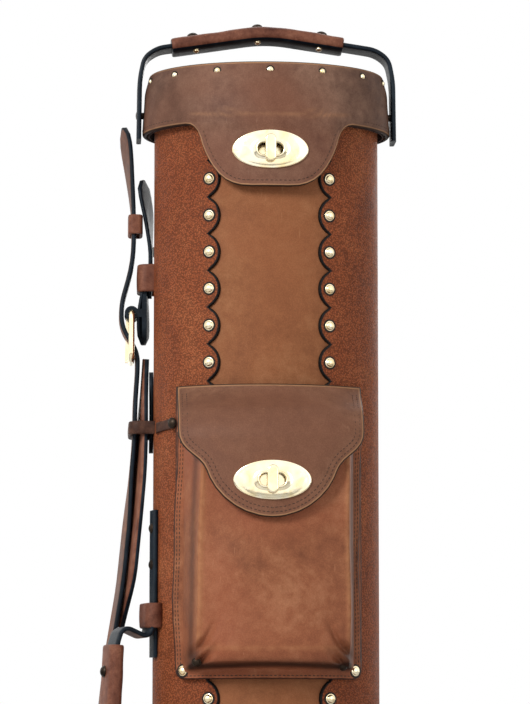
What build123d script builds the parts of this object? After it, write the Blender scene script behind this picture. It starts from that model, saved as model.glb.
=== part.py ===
"""A leather cue case: an oval hard tube in leather, a hinged cap, two pockets, two carry handles
and a shoulder strap. Millimetres. The origin is the middle of the flat foot, +Z runs up the case
to the cap, -Y is the front with the pockets, and the straps are on the -X side."""

from build123d import *

import os
from math import cos, pi, radians, sin, sqrt, tan

# ---- driving dimensions ----
BODY_A, BODY_B = 69.0, 50.0  # half width and half depth of the leather-covered tube
WRAP_T, PANEL_T, SHELL_T = 2.2, 2.0, 3.0  # pebbled wrap, smooth panel, hard shell
LEATHER_TOP, NECK_TOP = 836.0, 848.0
CAP_RIM, CAP_TOP = 825.0, 860.0
CAP_IN, CAP_LINING_T, CAP_WALL_T = 3.0, 0.8, 2.4
CAP_OUT = CAP_IN + CAP_LINING_T + CAP_WALL_T
BOOT_TOP, BOOT_T, SOLE_T, DISC_T = 60.0, 2.4, 3.0, 12.0

BUTT_BORE, BUTT_WALL, BUTT_PITCH, BUTT_Y = 16.0, 1.0, 34.6, 15.5
SHAFT_BORE, SHAFT_WALL, SHAFT_PITCH, SHAFT_Y = 9.8, 0.9, 21.8, -15.0
TUBE_FLOOR_T, COLLAR_T = 5.0, 6.0

RIVET_X, RIVET_PITCH, RIVET_TOP = 36.4, 22.4, 814.4
SCALLOP_PEAK, SCALLOP_CUSP = 30.4, 37.2
RIVET_R, RIVET_H = 3.3, 1.7

POCKET_HALF, POCKET_FLANGE = 47.0, 56.0  # half widths of the pouch and of its stitched margin
POCKET_OUT, POCKET_T = 27.0, 2.2
FLAP_T, FLAP_HALF = 2.4, 55.5
UPPER_POCKET = (490.0, 666.0)  # foot of the margin, top of the flap
LOWER_POCKET = (112.0, 446.0)

PLATE_W, PLATE_H, PLATE_T = 46.6, 23.8, 1.8
RIM_W, RIM_H, RIM_T = 18.4, 10.4, 1.1
SLOT_W, SLOT_H = 15.4, 7.6
BUTTON_W, BUTTON_H, BUTTON_T = 6.6, 17.0, 3.6
CAP_LOCK_Z = 808.0
FLAP_LOCK_DROP = 60.0  # from the top of a flap down to its lock

STRAP_T, STRAP_W = 3.0, 20.0
STRAP_Y = 14.0
TAB_T = 2.4
HANDLE_Y, HANDLE_Z = -10.0, 457.0
SLEEVE_T, SLEEVE_W, SLEEVE_HALF = 10.0, 24.0, 52.0
SCREW_PITCH = 40.0
BUCKLE_X, HEEL_Z, TOE_Z, WIRE_R = -82.5, 716.0, 687.0, 1.8

FRONT = 130.0  # further out than anything on the front
UNDER_WRAP = -WRAP_T
UNDER_PANEL = -WRAP_T - PANEL_T
SHELL_IN = UNDER_PANEL - SHELL_T


def surface(offset, x):
    """Y of the oval's front at x, for the oval standing offset outside the wrap."""
    return -(BODY_B + offset) * sqrt(1 - (x / (BODY_A + offset)) ** 2)


def side_surface(offset, y):
    """X of the oval's left side at y."""
    return -(BODY_A + offset) * sqrt(1 - (y / (BODY_B + offset)) ** 2)


def normal_plane(offset, x, y, z):
    """A plane on the oval at (x, y, z) that faces outwards."""
    a, b = BODY_A + offset, BODY_B + offset
    return Plane(origin=(x, y, z), x_dir=(0, 0, 1), z_dir=(x / a**2, y / b**2, 0))


def oval(outer, inner, low, high):
    """A layer of the oval between two offsets, or a plug of it where inner is None."""
    with BuildPart() as layer:
        with BuildSketch(Plane.XY.offset(low)):
            Ellipse(BODY_A + outer, BODY_B + outer)
            if inner is not None:
                Ellipse(BODY_A + inner, BODY_B + inner, mode=Mode.SUBTRACT)
        extrude(amount=high - low)
    return layer.part


def patch(outer, inner, low, high, block):
    """The stretch of an oval layer that lies inside a block."""
    with BuildPart() as piece:
        add(oval(outer, inner, low, high))
        add(block, mode=Mode.INTERSECT)
    return piece.part


def cone(outer_low, outer_high, low, high):
    """A plug of the oval whose offset changes with height."""
    with BuildPart() as plug:
        for offset_here, z in ((outer_low, low), (outer_high, high)):
            with BuildSketch(Plane.XY.offset(z)):
                Ellipse(BODY_A + offset_here, BODY_B + offset_here)
        loft(ruled=True)
    return plug.part


def front_block(half, low, high, corner=0.0):
    """A box in front of the case's middle plane, rounded at its lower corners as seen from the front."""
    with BuildPart() as block:
        with BuildSketch(Plane.XZ) as outline:
            with Locations((0, (low + high) / 2)):
                Rectangle(2 * half, high - low)
            if corner:
                fillet(outline.vertices().group_by(Axis.Z)[0], corner)
        extrude(amount=FRONT)
    return block.part


def side_block(y_low, y_high, z_low, z_high, corner=0.0):
    """A box on the strap side, rounded at its corners as seen from that side."""
    with BuildPart() as block:
        with BuildSketch(Plane.YZ) as outline:
            with Locations(((y_low + y_high) / 2, (z_low + z_high) / 2)):
                Rectangle(y_high - y_low, z_high - z_low)
            if corner:
                fillet(outline.vertices(), corner)
        extrude(amount=-FRONT)
    return block.part


def bend_radii(points, largest):
    """For each corner of a run, the largest arc that its two stretches leave room for."""
    radii = []
    for before, corner, after in zip(points, points[1:], points[2:]):
        arriving, leaving = Vector(corner) - Vector(before), Vector(after) - Vector(corner)
        turn = radians(arriving.get_angle(leaving))
        radii.append(min(largest, 0.45 * min(arriving.length, leaving.length) / tan(turn / 2)))
    return radii


def ribbon(plane, points, radii, thickness, width):
    """A flat strap whose middle line follows points in the plane, and whose width is across it."""
    with BuildPart() as strap:
        with BuildSketch(plane):
            with BuildLine():
                FilletPolyline(*points, radius=radii)
            trace(line_width=thickness)
        extrude(amount=width / 2, both=True)
    return strap.part


def rivet_head(plane, radius, height):
    """A domed head that sits on the plane."""
    ball = (radius**2 + height**2) / (2 * height)
    with BuildPart() as head:
        with BuildSketch(plane):
            Circle(radius)
        extrude(amount=height)
        with Locations(plane.offset(height - ball)):
            Sphere(ball, mode=Mode.INTERSECT)
    return head.part


def keep(piece, name):
    """Labels a finished piece and writes it."""
    piece.label = name
    export_step(piece, f"parts/{name}.step")


os.makedirs("parts", exist_ok=True)

# ================= tube and its inside =================
with BuildPart() as inner_shell:
    add(oval(UNDER_PANEL, SHELL_IN, SOLE_T + DISC_T, NECK_TOP))
keep(inner_shell.part, "inner_shell")

butt_spots = [(x * BUTT_PITCH, BUTT_Y) for x in (-1, 0, 1)]
shaft_spots = [(x * SHAFT_PITCH, SHAFT_Y) for x in (-2, -1, 0, 1, 2)]
floor_z = SOLE_T + DISC_T
tube_z = floor_z + TUBE_FLOOR_T

with BuildPart() as tube_floor:
    add(oval(SHELL_IN, None, floor_z, tube_z))
keep(tube_floor.part, "tube_floor")


def tubes(spots, bore, wall):
    """Straight liner tubes, open at the top, on the tube floor."""
    with BuildPart() as group:
        with BuildSketch(Plane.XY.offset(tube_z)):
            with Locations(*spots):
                Circle(bore + wall)
                Circle(bore, mode=Mode.SUBTRACT)
        extrude(amount=NECK_TOP - tube_z)
    return group.part


keep(tubes(butt_spots, BUTT_BORE, BUTT_WALL), "butt_tubes")
keep(tubes(shaft_spots, SHAFT_BORE, SHAFT_WALL), "shaft_tubes")

with BuildPart() as tube_collar:
    add(oval(SHELL_IN, None, NECK_TOP - COLLAR_T, NECK_TOP))
    with Locations(*[(x, y, NECK_TOP) for x, y in butt_spots]):
        Hole(BUTT_BORE + BUTT_WALL, depth=COLLAR_T)
    with Locations(*[(x, y, NECK_TOP) for x, y in shaft_spots]):
        Hole(SHAFT_BORE + SHAFT_WALL, depth=COLLAR_T)
keep(tube_collar.part, "tube_collar")

# ================= leather on the tube =================
PANEL_HALF = 56.0
panel_block = front_block(PANEL_HALF, 0, LEATHER_TOP)
with BuildPart() as front_panel:
    add(patch(UNDER_WRAP, UNDER_PANEL, SOLE_T, LEATHER_TOP, panel_block))
keep(front_panel.part, "front_panel")

with BuildPart() as back_padding:
    add(oval(UNDER_WRAP, UNDER_PANEL, SOLE_T, LEATHER_TOP))
    add(panel_block, mode=Mode.SUBTRACT)
keep(back_padding.part, "back_padding")

rivet_count = int((RIVET_TOP - BOOT_TOP) / RIVET_PITCH) + 1
rivet_levels = [RIVET_TOP - RIVET_PITCH * k for k in range(rivet_count)]


def scalloped_side(sign):
    """One scalloped edge of the wrap's front opening, from the foot to the top."""
    for level in reversed(rivet_levels):
        ThreePointArc(
            (sign * SCALLOP_CUSP, level - RIVET_PITCH / 2),
            (sign * SCALLOP_PEAK, level),
            (sign * SCALLOP_CUSP, level + RIVET_PITCH / 2),
        )


with BuildPart() as side_wrap:
    add(oval(0, UNDER_WRAP, SOLE_T, LEATHER_TOP))
    with BuildSketch(Plane.XZ):
        with BuildLine():
            scalloped_side(-1)
            scalloped_side(1)
            low_z = rivet_levels[-1] - RIVET_PITCH / 2
            high_z = rivet_levels[0] + RIVET_PITCH / 2
            Polyline(
                (-SCALLOP_CUSP, low_z), (-SCALLOP_CUSP, 0), (SCALLOP_CUSP, 0), (SCALLOP_CUSP, low_z)
            )
            Polyline(
                (-SCALLOP_CUSP, high_z),
                (-SCALLOP_CUSP, LEATHER_TOP + 1),
                (SCALLOP_CUSP, LEATHER_TOP + 1),
                (SCALLOP_CUSP, high_z),
            )
        make_face()
    extrude(amount=FRONT, mode=Mode.SUBTRACT)
keep(side_wrap.part, "side_wrap")


def covered(level):
    """True where a pocket or the boot hides this rivet level, which then has no rivet."""
    clear = RIVET_R + 1
    return level < BOOT_TOP + clear or any(
        foot - clear < level < top + clear for foot, top in (UPPER_POCKET, LOWER_POCKET)
    )


with BuildPart() as scallop_rivets:
    for level in rivet_levels:
        if not covered(level):
            for x in (-RIVET_X, RIVET_X):
                add(rivet_head(normal_plane(0, x, surface(0, x), level), RIVET_R, RIVET_H))
keep(scallop_rivets.part, "scallop_rivets")

# ================= foot =================
with BuildPart() as base_sole:
    add(oval(BOOT_T, None, 0, SOLE_T))
keep(base_sole.part, "base_sole")

with BuildPart() as base_disc:
    add(oval(UNDER_PANEL, None, SOLE_T, SOLE_T + DISC_T))
keep(base_disc.part, "base_disc")

with BuildPart() as base_boot:
    add(oval(BOOT_T, 0, SOLE_T, BOOT_TOP))
keep(base_boot.part, "base_boot")

TACK_COUNT, TACK_R, TACK_H, TACK_INSET = 14, 1.9, 1.1, 5.2


def tacks(offset, z):
    """Round-headed tacks spaced evenly round the oval."""
    with BuildPart() as ring:
        for n in range(TACK_COUNT):
            turn = 2 * pi * n / TACK_COUNT
            x, y = (BODY_A + offset) * sin(turn), -(BODY_B + offset) * cos(turn)
            add(rivet_head(normal_plane(offset, x, y, z), TACK_R, TACK_H))
    return ring.part


keep(tacks(BOOT_T, SOLE_T + TACK_INSET), "base_tacks")

# ================= cap =================
with BuildPart() as cap_wall:
    add(oval(CAP_OUT, CAP_OUT - CAP_WALL_T, CAP_RIM, CAP_TOP))
    top_edges = cap_wall.faces().sort_by(Axis.Z)[-1].edges().sort_by(SortBy.LENGTH)
    fillet(top_edges[-1], 1.6)
keep(cap_wall.part, "cap_wall")

CAP_TOP_T, CAP_DISC_T = 2.4, 7.0
disc_top = CAP_TOP - CAP_TOP_T
with BuildPart() as cap_lining:
    add(oval(CAP_OUT - CAP_WALL_T, CAP_IN, CAP_RIM, disc_top - CAP_DISC_T))
keep(cap_lining.part, "cap_lining")

with BuildPart() as cap_disc:
    add(oval(CAP_OUT - CAP_WALL_T, None, disc_top - CAP_DISC_T, disc_top))
keep(cap_disc.part, "cap_disc")

with BuildPart() as cap_top:
    add(oval(CAP_OUT - CAP_WALL_T, None, disc_top, CAP_TOP))
keep(cap_top.part, "cap_top")

keep(tacks(CAP_OUT, CAP_TOP - TACK_INSET), "cap_tacks")

# ---- tongue: hangs from the rim in front, on its own fold ----
FOLD_GAP = 0.3
TONGUE_FOOT = 785.5


def tongue_outline():
    """The tongue from the fold down to its foot, as seen from the front."""
    top = CAP_RIM - FOLD_GAP
    with BuildSketch(Plane.XZ) as outline:
        with BuildLine():
            shoulder = Line((0, top), (50, top))
            flare = ThreePointArc(shoulder @ 1, (43.6, 819.5), (41.4, 812))
            side = Line(flare @ 1, (37.8, 803))
            foot = ThreePointArc(side @ 1, (29.5, 790.2), (14, TONGUE_FOOT))
            Line(foot @ 1, (0, TONGUE_FOOT))
            mirror(about=Plane.YZ)
        make_face()
    return outline.sketch


def slot_cut(z, clearance):
    """The oblong opening of a lock, as a block from the middle plane to the front."""
    with BuildPart() as block:
        with BuildSketch(Plane.XZ):
            with Locations((0, z)):
                SlotOverall(SLOT_W + 2 * clearance, SLOT_H + 2 * clearance)
        extrude(amount=FRONT)
    return block.part


with BuildPart() as cap_tongue:
    extrude(tongue_outline(), amount=FRONT)
    add(oval(CAP_OUT, CAP_OUT - CAP_WALL_T, 0, CAP_TOP), mode=Mode.INTERSECT)
    add(slot_cut(CAP_LOCK_Z, 0.8), mode=Mode.SUBTRACT)
keep(cap_tongue.part, "cap_tongue")


def lock_plate(z, offset):
    """The oval brass plate with its raised rim round the oblong opening."""
    with BuildSketch(Plane.XZ) as face:
        with Locations((0, z)):
            Ellipse(PLATE_W / 2, PLATE_H / 2)
    with BuildSketch(Plane.XZ) as rim:
        with Locations((0, z)):
            SlotOverall(RIM_W, RIM_H)
    low, high = z - PLATE_H, z + PLATE_H
    face_block = extrude(face.sketch, amount=FRONT)
    rim_block = extrude(rim.sketch, amount=FRONT)
    with BuildPart() as plate:
        add(patch(offset + PLATE_T, offset, low, high, face_block))
        add(patch(offset + PLATE_T + RIM_T, offset, low, high, rim_block))
        add(slot_cut(z, 0), mode=Mode.SUBTRACT)
    return plate.part


BASE_W, BASE_H, BASE_T, COLLAR_R, SHAFT_R = 26.0, 13.0, 1.4, 3.2, 2.0
BUTTON_GAP = 0.6


def lock_base(z, seat, plate_top):
    """The base under the lock: an oval foot with a bored collar for the turning button."""
    seat_y = surface(seat, 0)
    collar_y = surface(plate_top, 0) + PLATE_T
    with BuildPart() as base:
        with BuildSketch(Plane.XZ):
            with Locations((0, z)):
                Ellipse(BASE_W / 2, BASE_H / 2)
        extrude(amount=FRONT)
        add(oval(seat + BASE_T, seat, z - BASE_H, z + BASE_H), mode=Mode.INTERSECT)
        with BuildSketch(Plane.XZ.offset(-seat_y + BASE_T / 2)):
            with Locations((0, z)):
                Circle(COLLAR_R)
        extrude(amount=seat_y - BASE_T / 2 - collar_y)
        with BuildSketch(Plane.XZ.offset(-seat_y + 0.4)):
            with Locations((0, z)):
                Circle(SHAFT_R + 0.08)
        extrude(amount=FRONT, mode=Mode.SUBTRACT)
    return base.part


def lock_button(z, seat, plate_top):
    """The turning button: an upright bar on a round shaft."""
    seat_y, bar_y = surface(seat, 0), surface(plate_top + RIM_T, 0) - BUTTON_GAP
    with BuildPart() as button:
        with BuildSketch(Plane.XZ.offset(-bar_y)):
            with Locations((0, z)):
                SlotOverall(BUTTON_H, BUTTON_W, rotation=90)
        extrude(amount=BUTTON_T)
        fillet(button.faces().sort_by(Axis.Y)[0].edges(), 1.2)
        with BuildSketch(Plane.XZ.offset(-seat_y + 0.6)):
            with Locations((0, z)):
                Circle(SHAFT_R)
        extrude(amount=seat_y - bar_y)
    return button.part


plate_top = CAP_OUT + PLATE_T
keep(lock_plate(CAP_LOCK_Z, CAP_OUT), "tongue_plate")
keep(lock_base(CAP_LOCK_Z, UNDER_WRAP, plate_top), "cap_turn_base")
keep(lock_button(CAP_LOCK_Z, UNDER_WRAP, plate_top), "cap_turn_button")

# ---- leather hinge at the back of the cap ----
HINGE_HALF, HINGE_LOW = 32.0, 780.0
with BuildPart() as cap_hinge_leather:
    add(oval(CAP_IN - 0.6, 0, HINGE_LOW, CAP_RIM - FOLD_GAP))
    with BuildSketch(Plane.XZ) as hinge_outline:
        with Locations((0, (HINGE_LOW + CAP_RIM) / 2)):
            Rectangle(2 * HINGE_HALF, CAP_RIM - HINGE_LOW)
        fillet(hinge_outline.vertices().group_by(Axis.Z)[0], 14)
    extrude(amount=-FRONT, mode=Mode.INTERSECT)
keep(cap_hinge_leather.part, "cap_hinge_leather")

# ================= pockets =================
FLAP_FOLD_DROP = 9.0  # from the top of the flap to the line that it folds on
FLAP_IN = POCKET_OUT + 1.8
MARGIN_CORNER = 6.0
MOUTH_DROP = 27.5  # from the top of a flap down to the pouch's mouth


def pocket_back(foot, top):
    """The leather back of a pocket, sewn onto the wrap."""
    return patch(POCKET_T, 0, foot, top, front_block(POCKET_FLANGE, foot, top, MARGIN_CORNER))


def pocket_bag(foot, top):
    """A box-shaped pouch with a sewn margin, open at the top and closed behind by its back."""
    mouth = top - MOUTH_DROP
    box_foot, floor, above = foot + 7, foot + 7 + POCKET_T, mouth + 1
    margin = front_block(POCKET_FLANGE, foot, mouth, MARGIN_CORNER)
    box = front_block(POCKET_HALF, box_foot, mouth, 7)
    hollow = front_block(POCKET_HALF - POCKET_T, floor, above, 5)
    with BuildPart() as bag:
        add(patch(2 * POCKET_T, POCKET_T, foot, mouth, margin))
        add(patch(POCKET_OUT, POCKET_T, box_foot, mouth, box))
        add(patch(POCKET_OUT - POCKET_T, None, floor, above, hollow), mode=Mode.SUBTRACT)
    return bag.part


def flap_outline(top):
    """The flap as seen from the front: straight sides that sweep in to a round tongue."""
    fold = top - FLAP_FOLD_DROP - FOLD_GAP
    with BuildSketch(Plane.XZ) as outline:
        with BuildLine():
            Line((0, fold), (FLAP_HALF, fold))
            side = Line((FLAP_HALF, fold), (FLAP_HALF, top - 32))
            shoulder = ThreePointArc(side @ 1, (FLAP_HALF - 3.6, top - 40), (44.5, top - 46.5))
            neck = ThreePointArc(shoulder @ 1, (40.4, top - 50.4), (38.2, top - 55.5))
            ThreePointArc(neck @ 1, (26.5, top - 73.8), (0, top - 82.0))
            mirror(about=Plane.YZ)
        make_face()
    return outline.sketch


def flap_layer(top, outer):
    """Everything under the flap's outer or inner face: out from the case, then down the pouch."""
    step = FLAP_T if outer else 0.0
    with BuildPart() as layer:
        add(cone(FLAP_IN + step, FLAP_IN + step, top - 100, top - 26))
        add(cone(FLAP_IN + step, 2 * POCKET_T + step, top - 26, top - FLAP_FOLD_DROP))
    return layer.part


def pocket_flap(top):
    """The moving part of the flap, below its fold."""
    with BuildPart() as flap:
        extrude(flap_outline(top), amount=FRONT)
        add(flap_layer(top, True), mode=Mode.INTERSECT)
        add(flap_layer(top, False), mode=Mode.SUBTRACT)
        add(slot_cut(top - FLAP_LOCK_DROP, 0.8), mode=Mode.SUBTRACT)
    return flap.part


def flap_seam(top):
    """The sewn strip at the top of the flap, above its fold."""
    fold = top - FLAP_FOLD_DROP
    return patch(POCKET_T + FLAP_T, POCKET_T, fold, top, front_block(FLAP_HALF, fold, top))


def pocket_rivets(foot):
    """Domed rivets in the pouch's lower corners."""
    with BuildPart() as pair:
        for x in (-51.6, 51.6):
            spot = normal_plane(2 * POCKET_T, x, surface(2 * POCKET_T, x), foot + 5)
            add(rivet_head(spot, RIVET_R, RIVET_H))
    return pair.part


for name, (foot, top) in {"upper": UPPER_POCKET, "lower": LOWER_POCKET}.items():
    flap_out = FLAP_IN + FLAP_T
    lock_z = top - FLAP_LOCK_DROP
    keep(pocket_back(foot, top), f"{name}_pocket_back")
    keep(pocket_bag(foot, top), f"{name}_pocket_bag")
    keep(pocket_rivets(foot), f"{name}_pocket_rivets")
    keep(flap_seam(top), f"{name}_flap_seam")
    keep(pocket_flap(top), f"{name}_flap")
    keep(lock_plate(lock_z, flap_out), f"{name}_flap_plate")
    keep(lock_base(lock_z, POCKET_OUT, flap_out + PLATE_T), f"{name}_turn_base")
    keep(lock_button(lock_z, POCKET_OUT, flap_out + PLATE_T), f"{name}_turn_button")

# ================= carry handles =================


def handle_sleeve(plane, points, radii, strap):
    """The leather grip round the strap, with holes for the screws."""
    with BuildPart() as sleeve:
        add(ribbon(plane, points, radii, SLEEVE_T, SLEEVE_W))
        fillet(sleeve.edges().filter_by(GeomType.LINE).group_by(SortBy.LENGTH)[-1], 3)
        add(strap, mode=Mode.SUBTRACT)
    return sleeve.part


SCREW_R, SCREW_SHANK_R, SCREW_H, SCREW_BACK_H = 3.6, 2.0, 2.2, 1.0
HEAD_SEAT = SLEEVE_T / 2 + 0.12  # from the strap's middle line, clear of the curved grip


def handle_screws(planes):
    """Screw posts through the grip: each plane sits on the strap's middle line and faces out."""
    with BuildPart() as screws:
        for plane in planes:
            add(rivet_head(plane.offset(HEAD_SEAT), SCREW_R, SCREW_H))
            back = Plane(plane.offset(-HEAD_SEAT).origin, z_dir=-plane.z_dir)
            add(rivet_head(back, SCREW_R - 0.6, SCREW_BACK_H))
            with BuildSketch(plane.offset(-HEAD_SEAT)):
                Circle(SCREW_SHANK_R)
            extrude(amount=2 * HEAD_SEAT)
    return screws.part


def drill(body, planes):
    """The body with the screws' shank holes through it."""
    with BuildPart() as drilled:
        add(body)
        for plane in planes:
            with BuildSketch(plane.offset(-SLEEVE_T)):
                Circle(SCREW_SHANK_R)
            extrude(amount=2 * SLEEVE_T, mode=Mode.SUBTRACT)
    return drilled.part


# ---- top handle: down both sides of the cap ----
STRAP_SIDE = BODY_A + CAP_OUT + 0.4 + STRAP_T / 2
ARCH_BEND, ARCH_END, ARCH_TOP = 868.0, 879.6, 887.0
arch = [
    (-STRAP_SIDE, CAP_RIM - 4),
    (-STRAP_SIDE, ARCH_BEND),
    (-SLEEVE_HALF - 6, ARCH_END - 1),
    (0, ARCH_TOP),
    (SLEEVE_HALF + 6, ARCH_END - 1),
    (STRAP_SIDE, ARCH_BEND),
    (STRAP_SIDE, CAP_RIM - 4),
]
ARCH_R = 90.0
top_slope = (ARCH_TOP - ARCH_END + 1) / (SLEEVE_HALF + 6)
arch_drop = ARCH_R * (sqrt(1 + top_slope**2) - 1)
grip = [(-SLEEVE_HALF, ARCH_TOP - top_slope * SLEEVE_HALF), (0, ARCH_TOP)]
grip.append((SLEEVE_HALF, grip[0][1]))
top_screw_planes = [
    Plane(
        origin=(x, 0, ARCH_TOP - top_slope * abs(x) - (arch_drop if x == 0 else 0)),
        z_dir=(top_slope * (x > 0) - top_slope * (x < 0), 0, 1),
    )
    for x in (-SCREW_PITCH, 0, SCREW_PITCH)
]
arch_strap = ribbon(Plane.XZ, arch, [12, 12, ARCH_R, 12, 12], STRAP_T, STRAP_W)
HANDLE_PIVOT_Z, PIVOT_R = 838.0, 2.1
with BuildPart() as top_handle_strap:
    add(drill(arch_strap, top_screw_planes))
    with BuildSketch(Plane.YZ):
        with Locations((0, HANDLE_PIVOT_Z)):
            Circle(PIVOT_R + 0.08)
    extrude(amount=FRONT, both=True, mode=Mode.SUBTRACT)
keep(top_handle_strap.part, "top_handle_strap")
top_grip = handle_sleeve(Plane.XZ, grip, [ARCH_R], arch_strap)
keep(drill(top_grip, top_screw_planes), "top_handle_sleeve")
keep(handle_screws(top_screw_planes), "top_handle_screws")

with BuildPart() as handle_pivots:
    for sign in (-1, 1):
        wall_x = sign * (BODY_A + CAP_OUT)
        face = Plane(origin=(wall_x, 0, HANDLE_PIVOT_Z), z_dir=(sign, 0, 0))
        with BuildSketch(face.offset(0.02)):
            Circle(PIVOT_R)
        extrude(amount=STRAP_T + 0.7)
        add(rivet_head(face.offset(STRAP_T + 0.7), 4.2, 1.8))
keep(handle_pivots.part, "handle_pivots")

# ---- side handle: on the strap side, facing a little forward ----
handle_x = side_surface(0, HANDLE_Y)
outward = Vector(handle_x / BODY_A**2, HANDLE_Y / BODY_B**2, 0).normalized()
handle_plane = Plane(origin=(handle_x, HANDLE_Y, 0), x_dir=outward, z_dir=outward.cross(Vector(0, 0, 1)))
BOW, BOW_END, BOW_R = 29.0, 26.3, 120.0
GRIP_TOP = HANDLE_Z + SLEEVE_HALF + 2


def mirrored(points):
    """The points, then the same points mirrored about the handle's middle height."""
    return points + [(d, 2 * HANDLE_Z - z) for d, z in reversed(points)]


side_run = mirrored([(4.2, 535), (4.2, 514.5), (22.5, 522.5), (BOW_END, GRIP_TOP)])
side_run.insert(4, (BOW, HANDLE_Z))
side_radii = [4.5, 5, 30, BOW_R, 30, 5, 4.5]
side_grip = [(BOW_END, GRIP_TOP), (BOW, HANDLE_Z), (BOW_END, 2 * HANDLE_Z - GRIP_TOP)]
lean = (BOW - BOW_END) / (GRIP_TOP - HANDLE_Z)
bow_drop = BOW_R * (sqrt(1 + lean**2) - 1)
side_screw_planes = []
for step in (-1, 0, 1):
    rise = step * (SCREW_PITCH - 2)
    out = BOW - lean * abs(rise) - (bow_drop if step == 0 else 0)
    spot = handle_plane.from_local_coords(Vector(out, HANDLE_Z + rise, 0))
    tilt = handle_plane.from_local_coords(Vector(1, lean * step, 0)) - handle_plane.origin
    side_screw_planes.append(Plane(origin=spot, z_dir=tilt))
side_strap = ribbon(handle_plane, side_run, side_radii, STRAP_T, STRAP_W)
keep(drill(side_strap, side_screw_planes), "side_handle_strap")
side_sleeve = handle_sleeve(handle_plane, side_grip, [BOW_R], side_strap)
keep(drill(side_sleeve, side_screw_planes), "side_handle_sleeve")
keep(handle_screws(side_screw_planes), "side_handle_screws")

LOOP_T = 2.0


def band(plane, reach, half, low, high):
    """A leather band from the case's side round a strap and back, outside the tabs."""
    with BuildPart() as loop:
        with BuildSketch(Plane(origin=plane.origin, x_dir=plane.x_dir).offset(low)) as ring:
            with Locations((reach / 2 - 10, 0)):
                Rectangle(reach + 20, 2 * half)
            fillet(ring.vertices().group_by(Axis.X)[0], 3)
            with Locations((reach / 2 - 10, 0)):
                Rectangle(reach + 20 - 2 * LOOP_T, 2 * (half - LOOP_T), mode=Mode.SUBTRACT)
        extrude(amount=high - low)
        add(oval(TAB_T, None, low, high), mode=Mode.SUBTRACT)
    return loop.part


with BuildPart() as side_handle_tabs:
    for low, high in ((510, 593), (2 * HANDLE_Z - 593, 2 * HANDLE_Z - 510)):
        add(patch(TAB_T, 0, low, high, side_block(HANDLE_Y - 9, HANDLE_Y + 9, low, high, 4)))
keep(side_handle_tabs.part, "side_handle_tabs")

with BuildPart() as side_handle_loops:
    for low, high in ((521, 537), (2 * HANDLE_Z - 537, 2 * HANDLE_Z - 521)):
        add(band(handle_plane, 9.4, 13, low, high))
keep(side_handle_loops.part, "side_handle_loops")

# ================= shoulder strap =================
strap_plane = Plane.XZ.offset(-STRAP_Y)
half_w = STRAP_W / 2



def ear():
    """The round-ended upper end of the top tab, which curls away from the case."""
    with BuildSketch(Plane.YZ) as outline:
        with Locations((STRAP_Y, 780)):
            Rectangle(16, 42)
        fillet(outline.vertices().group_by(Axis.Z)[-1], 7.9)
        with Locations((STRAP_Y, 792)):
            Circle(2.2, mode=Mode.SUBTRACT)
    with BuildPart() as curl:
        add(ribbon(strap_plane, [(-70.2, 764), (-70.2, 780), (-75.4, 802)], [30], TAB_T, 16))
        extrude(outline.sketch, amount=-FRONT, mode=Mode.INTERSECT)
    return curl.part


with BuildPart() as strap_tabs:
    add(patch(TAB_T, 0, 724, 780, side_block(STRAP_Y - 8, STRAP_Y + 8, 724, 780)))
    add(ear())
    for low, high in ((630, 680), (86, 150)):
        add(patch(TAB_T, 0, low, high, side_block(STRAP_Y - 9, STRAP_Y + 9, low, high, 4)))
keep(strap_tabs.part, "strap_tabs")

out_plane = Plane(origin=(side_surface(0, STRAP_Y), STRAP_Y, 0), x_dir=(-1, 0, 0), z_dir=(0, 0, 1))
with BuildPart() as tab_loops:
    for low, high in ((729, 746), (96, 113)):
        add(band(out_plane, 12.6, 13, low, high))
keep(tab_loops.part, "tab_loops")

MIDDLE_LOW, MIDDLE_HIGH = 638.5, 650.0
tail_block = extrude(
    Plane.XY.offset(MIDDLE_LOW) * Pos(-68, -24) * Rectangle(22, 32), amount=MIDDLE_HIGH - MIDDLE_LOW
)
with BuildPart() as middle_loop:
    add(band(out_plane, 18.2, 23, MIDDLE_LOW, MIDDLE_HIGH))
    add(patch(TAB_T + 2, 0.02, MIDDLE_LOW, MIDDLE_HIGH, tail_block))
keep(middle_loop.part, "middle_loop")

run = [
    (-87.6, 833),
    (-84.6, 809),
    (-81.2, 777),
    (-81.6, 748),
    (-88.8, 722),
    (-88.8, 708),
    (-78.8, 691),
    (-78.8, 680),
    (-80.2, 660),
    (-80.4, 638),
    (-84.4, 590),
    (-88.6, 548),
    (-95.2, 508),
    (-104, 445),
    (-112, 355),
    (-115, 255),
    (-111, 160),
    (-104, 96),
    (-98, 49),
    (-73.6, 49),
    (-73.6, 118),
]
with BuildPart() as shoulder_strap:
    add(ribbon(strap_plane, run, bend_radii(run, 300), STRAP_T, STRAP_W))
    with Locations((-84.5, STRAP_Y, 699.5)):
        Box(14, 4.6, 17, mode=Mode.SUBTRACT)
keep(shoulder_strap.part, "shoulder_strap")
strap_length = shoulder_strap.part.volume / (STRAP_T * STRAP_W)
print("shoulder strap length mm", round(strap_length, 1))

PAD_T, PAD_W = 4.0, 38.0
pad_run = [(-73.6, 688), (-75.9, 640), (-80.2, 590), (-84.2, 548), (-88.4, 523)]
with BuildPart() as shoulder_pad:
    add(ribbon(strap_plane, pad_run, bend_radii(pad_run, 300), PAD_T, PAD_W))
    with BuildSketch(Plane.YZ) as pad_outline:
        with BuildLine():
            Polyline(
                (STRAP_Y - 3, 689),
                (STRAP_Y + 3, 689),
                (STRAP_Y + PAD_W / 2, 652),
                (STRAP_Y + PAD_W / 2, 560),
                (STRAP_Y + 3, 522),
                (STRAP_Y - 3, 522),
                (STRAP_Y - PAD_W / 2, 560),
                (STRAP_Y - PAD_W / 2, 652),
                close=True,
            )
        make_face()
    extrude(amount=-FRONT, mode=Mode.INTERSECT)
keep(shoulder_pad.part, "shoulder_pad")

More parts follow.
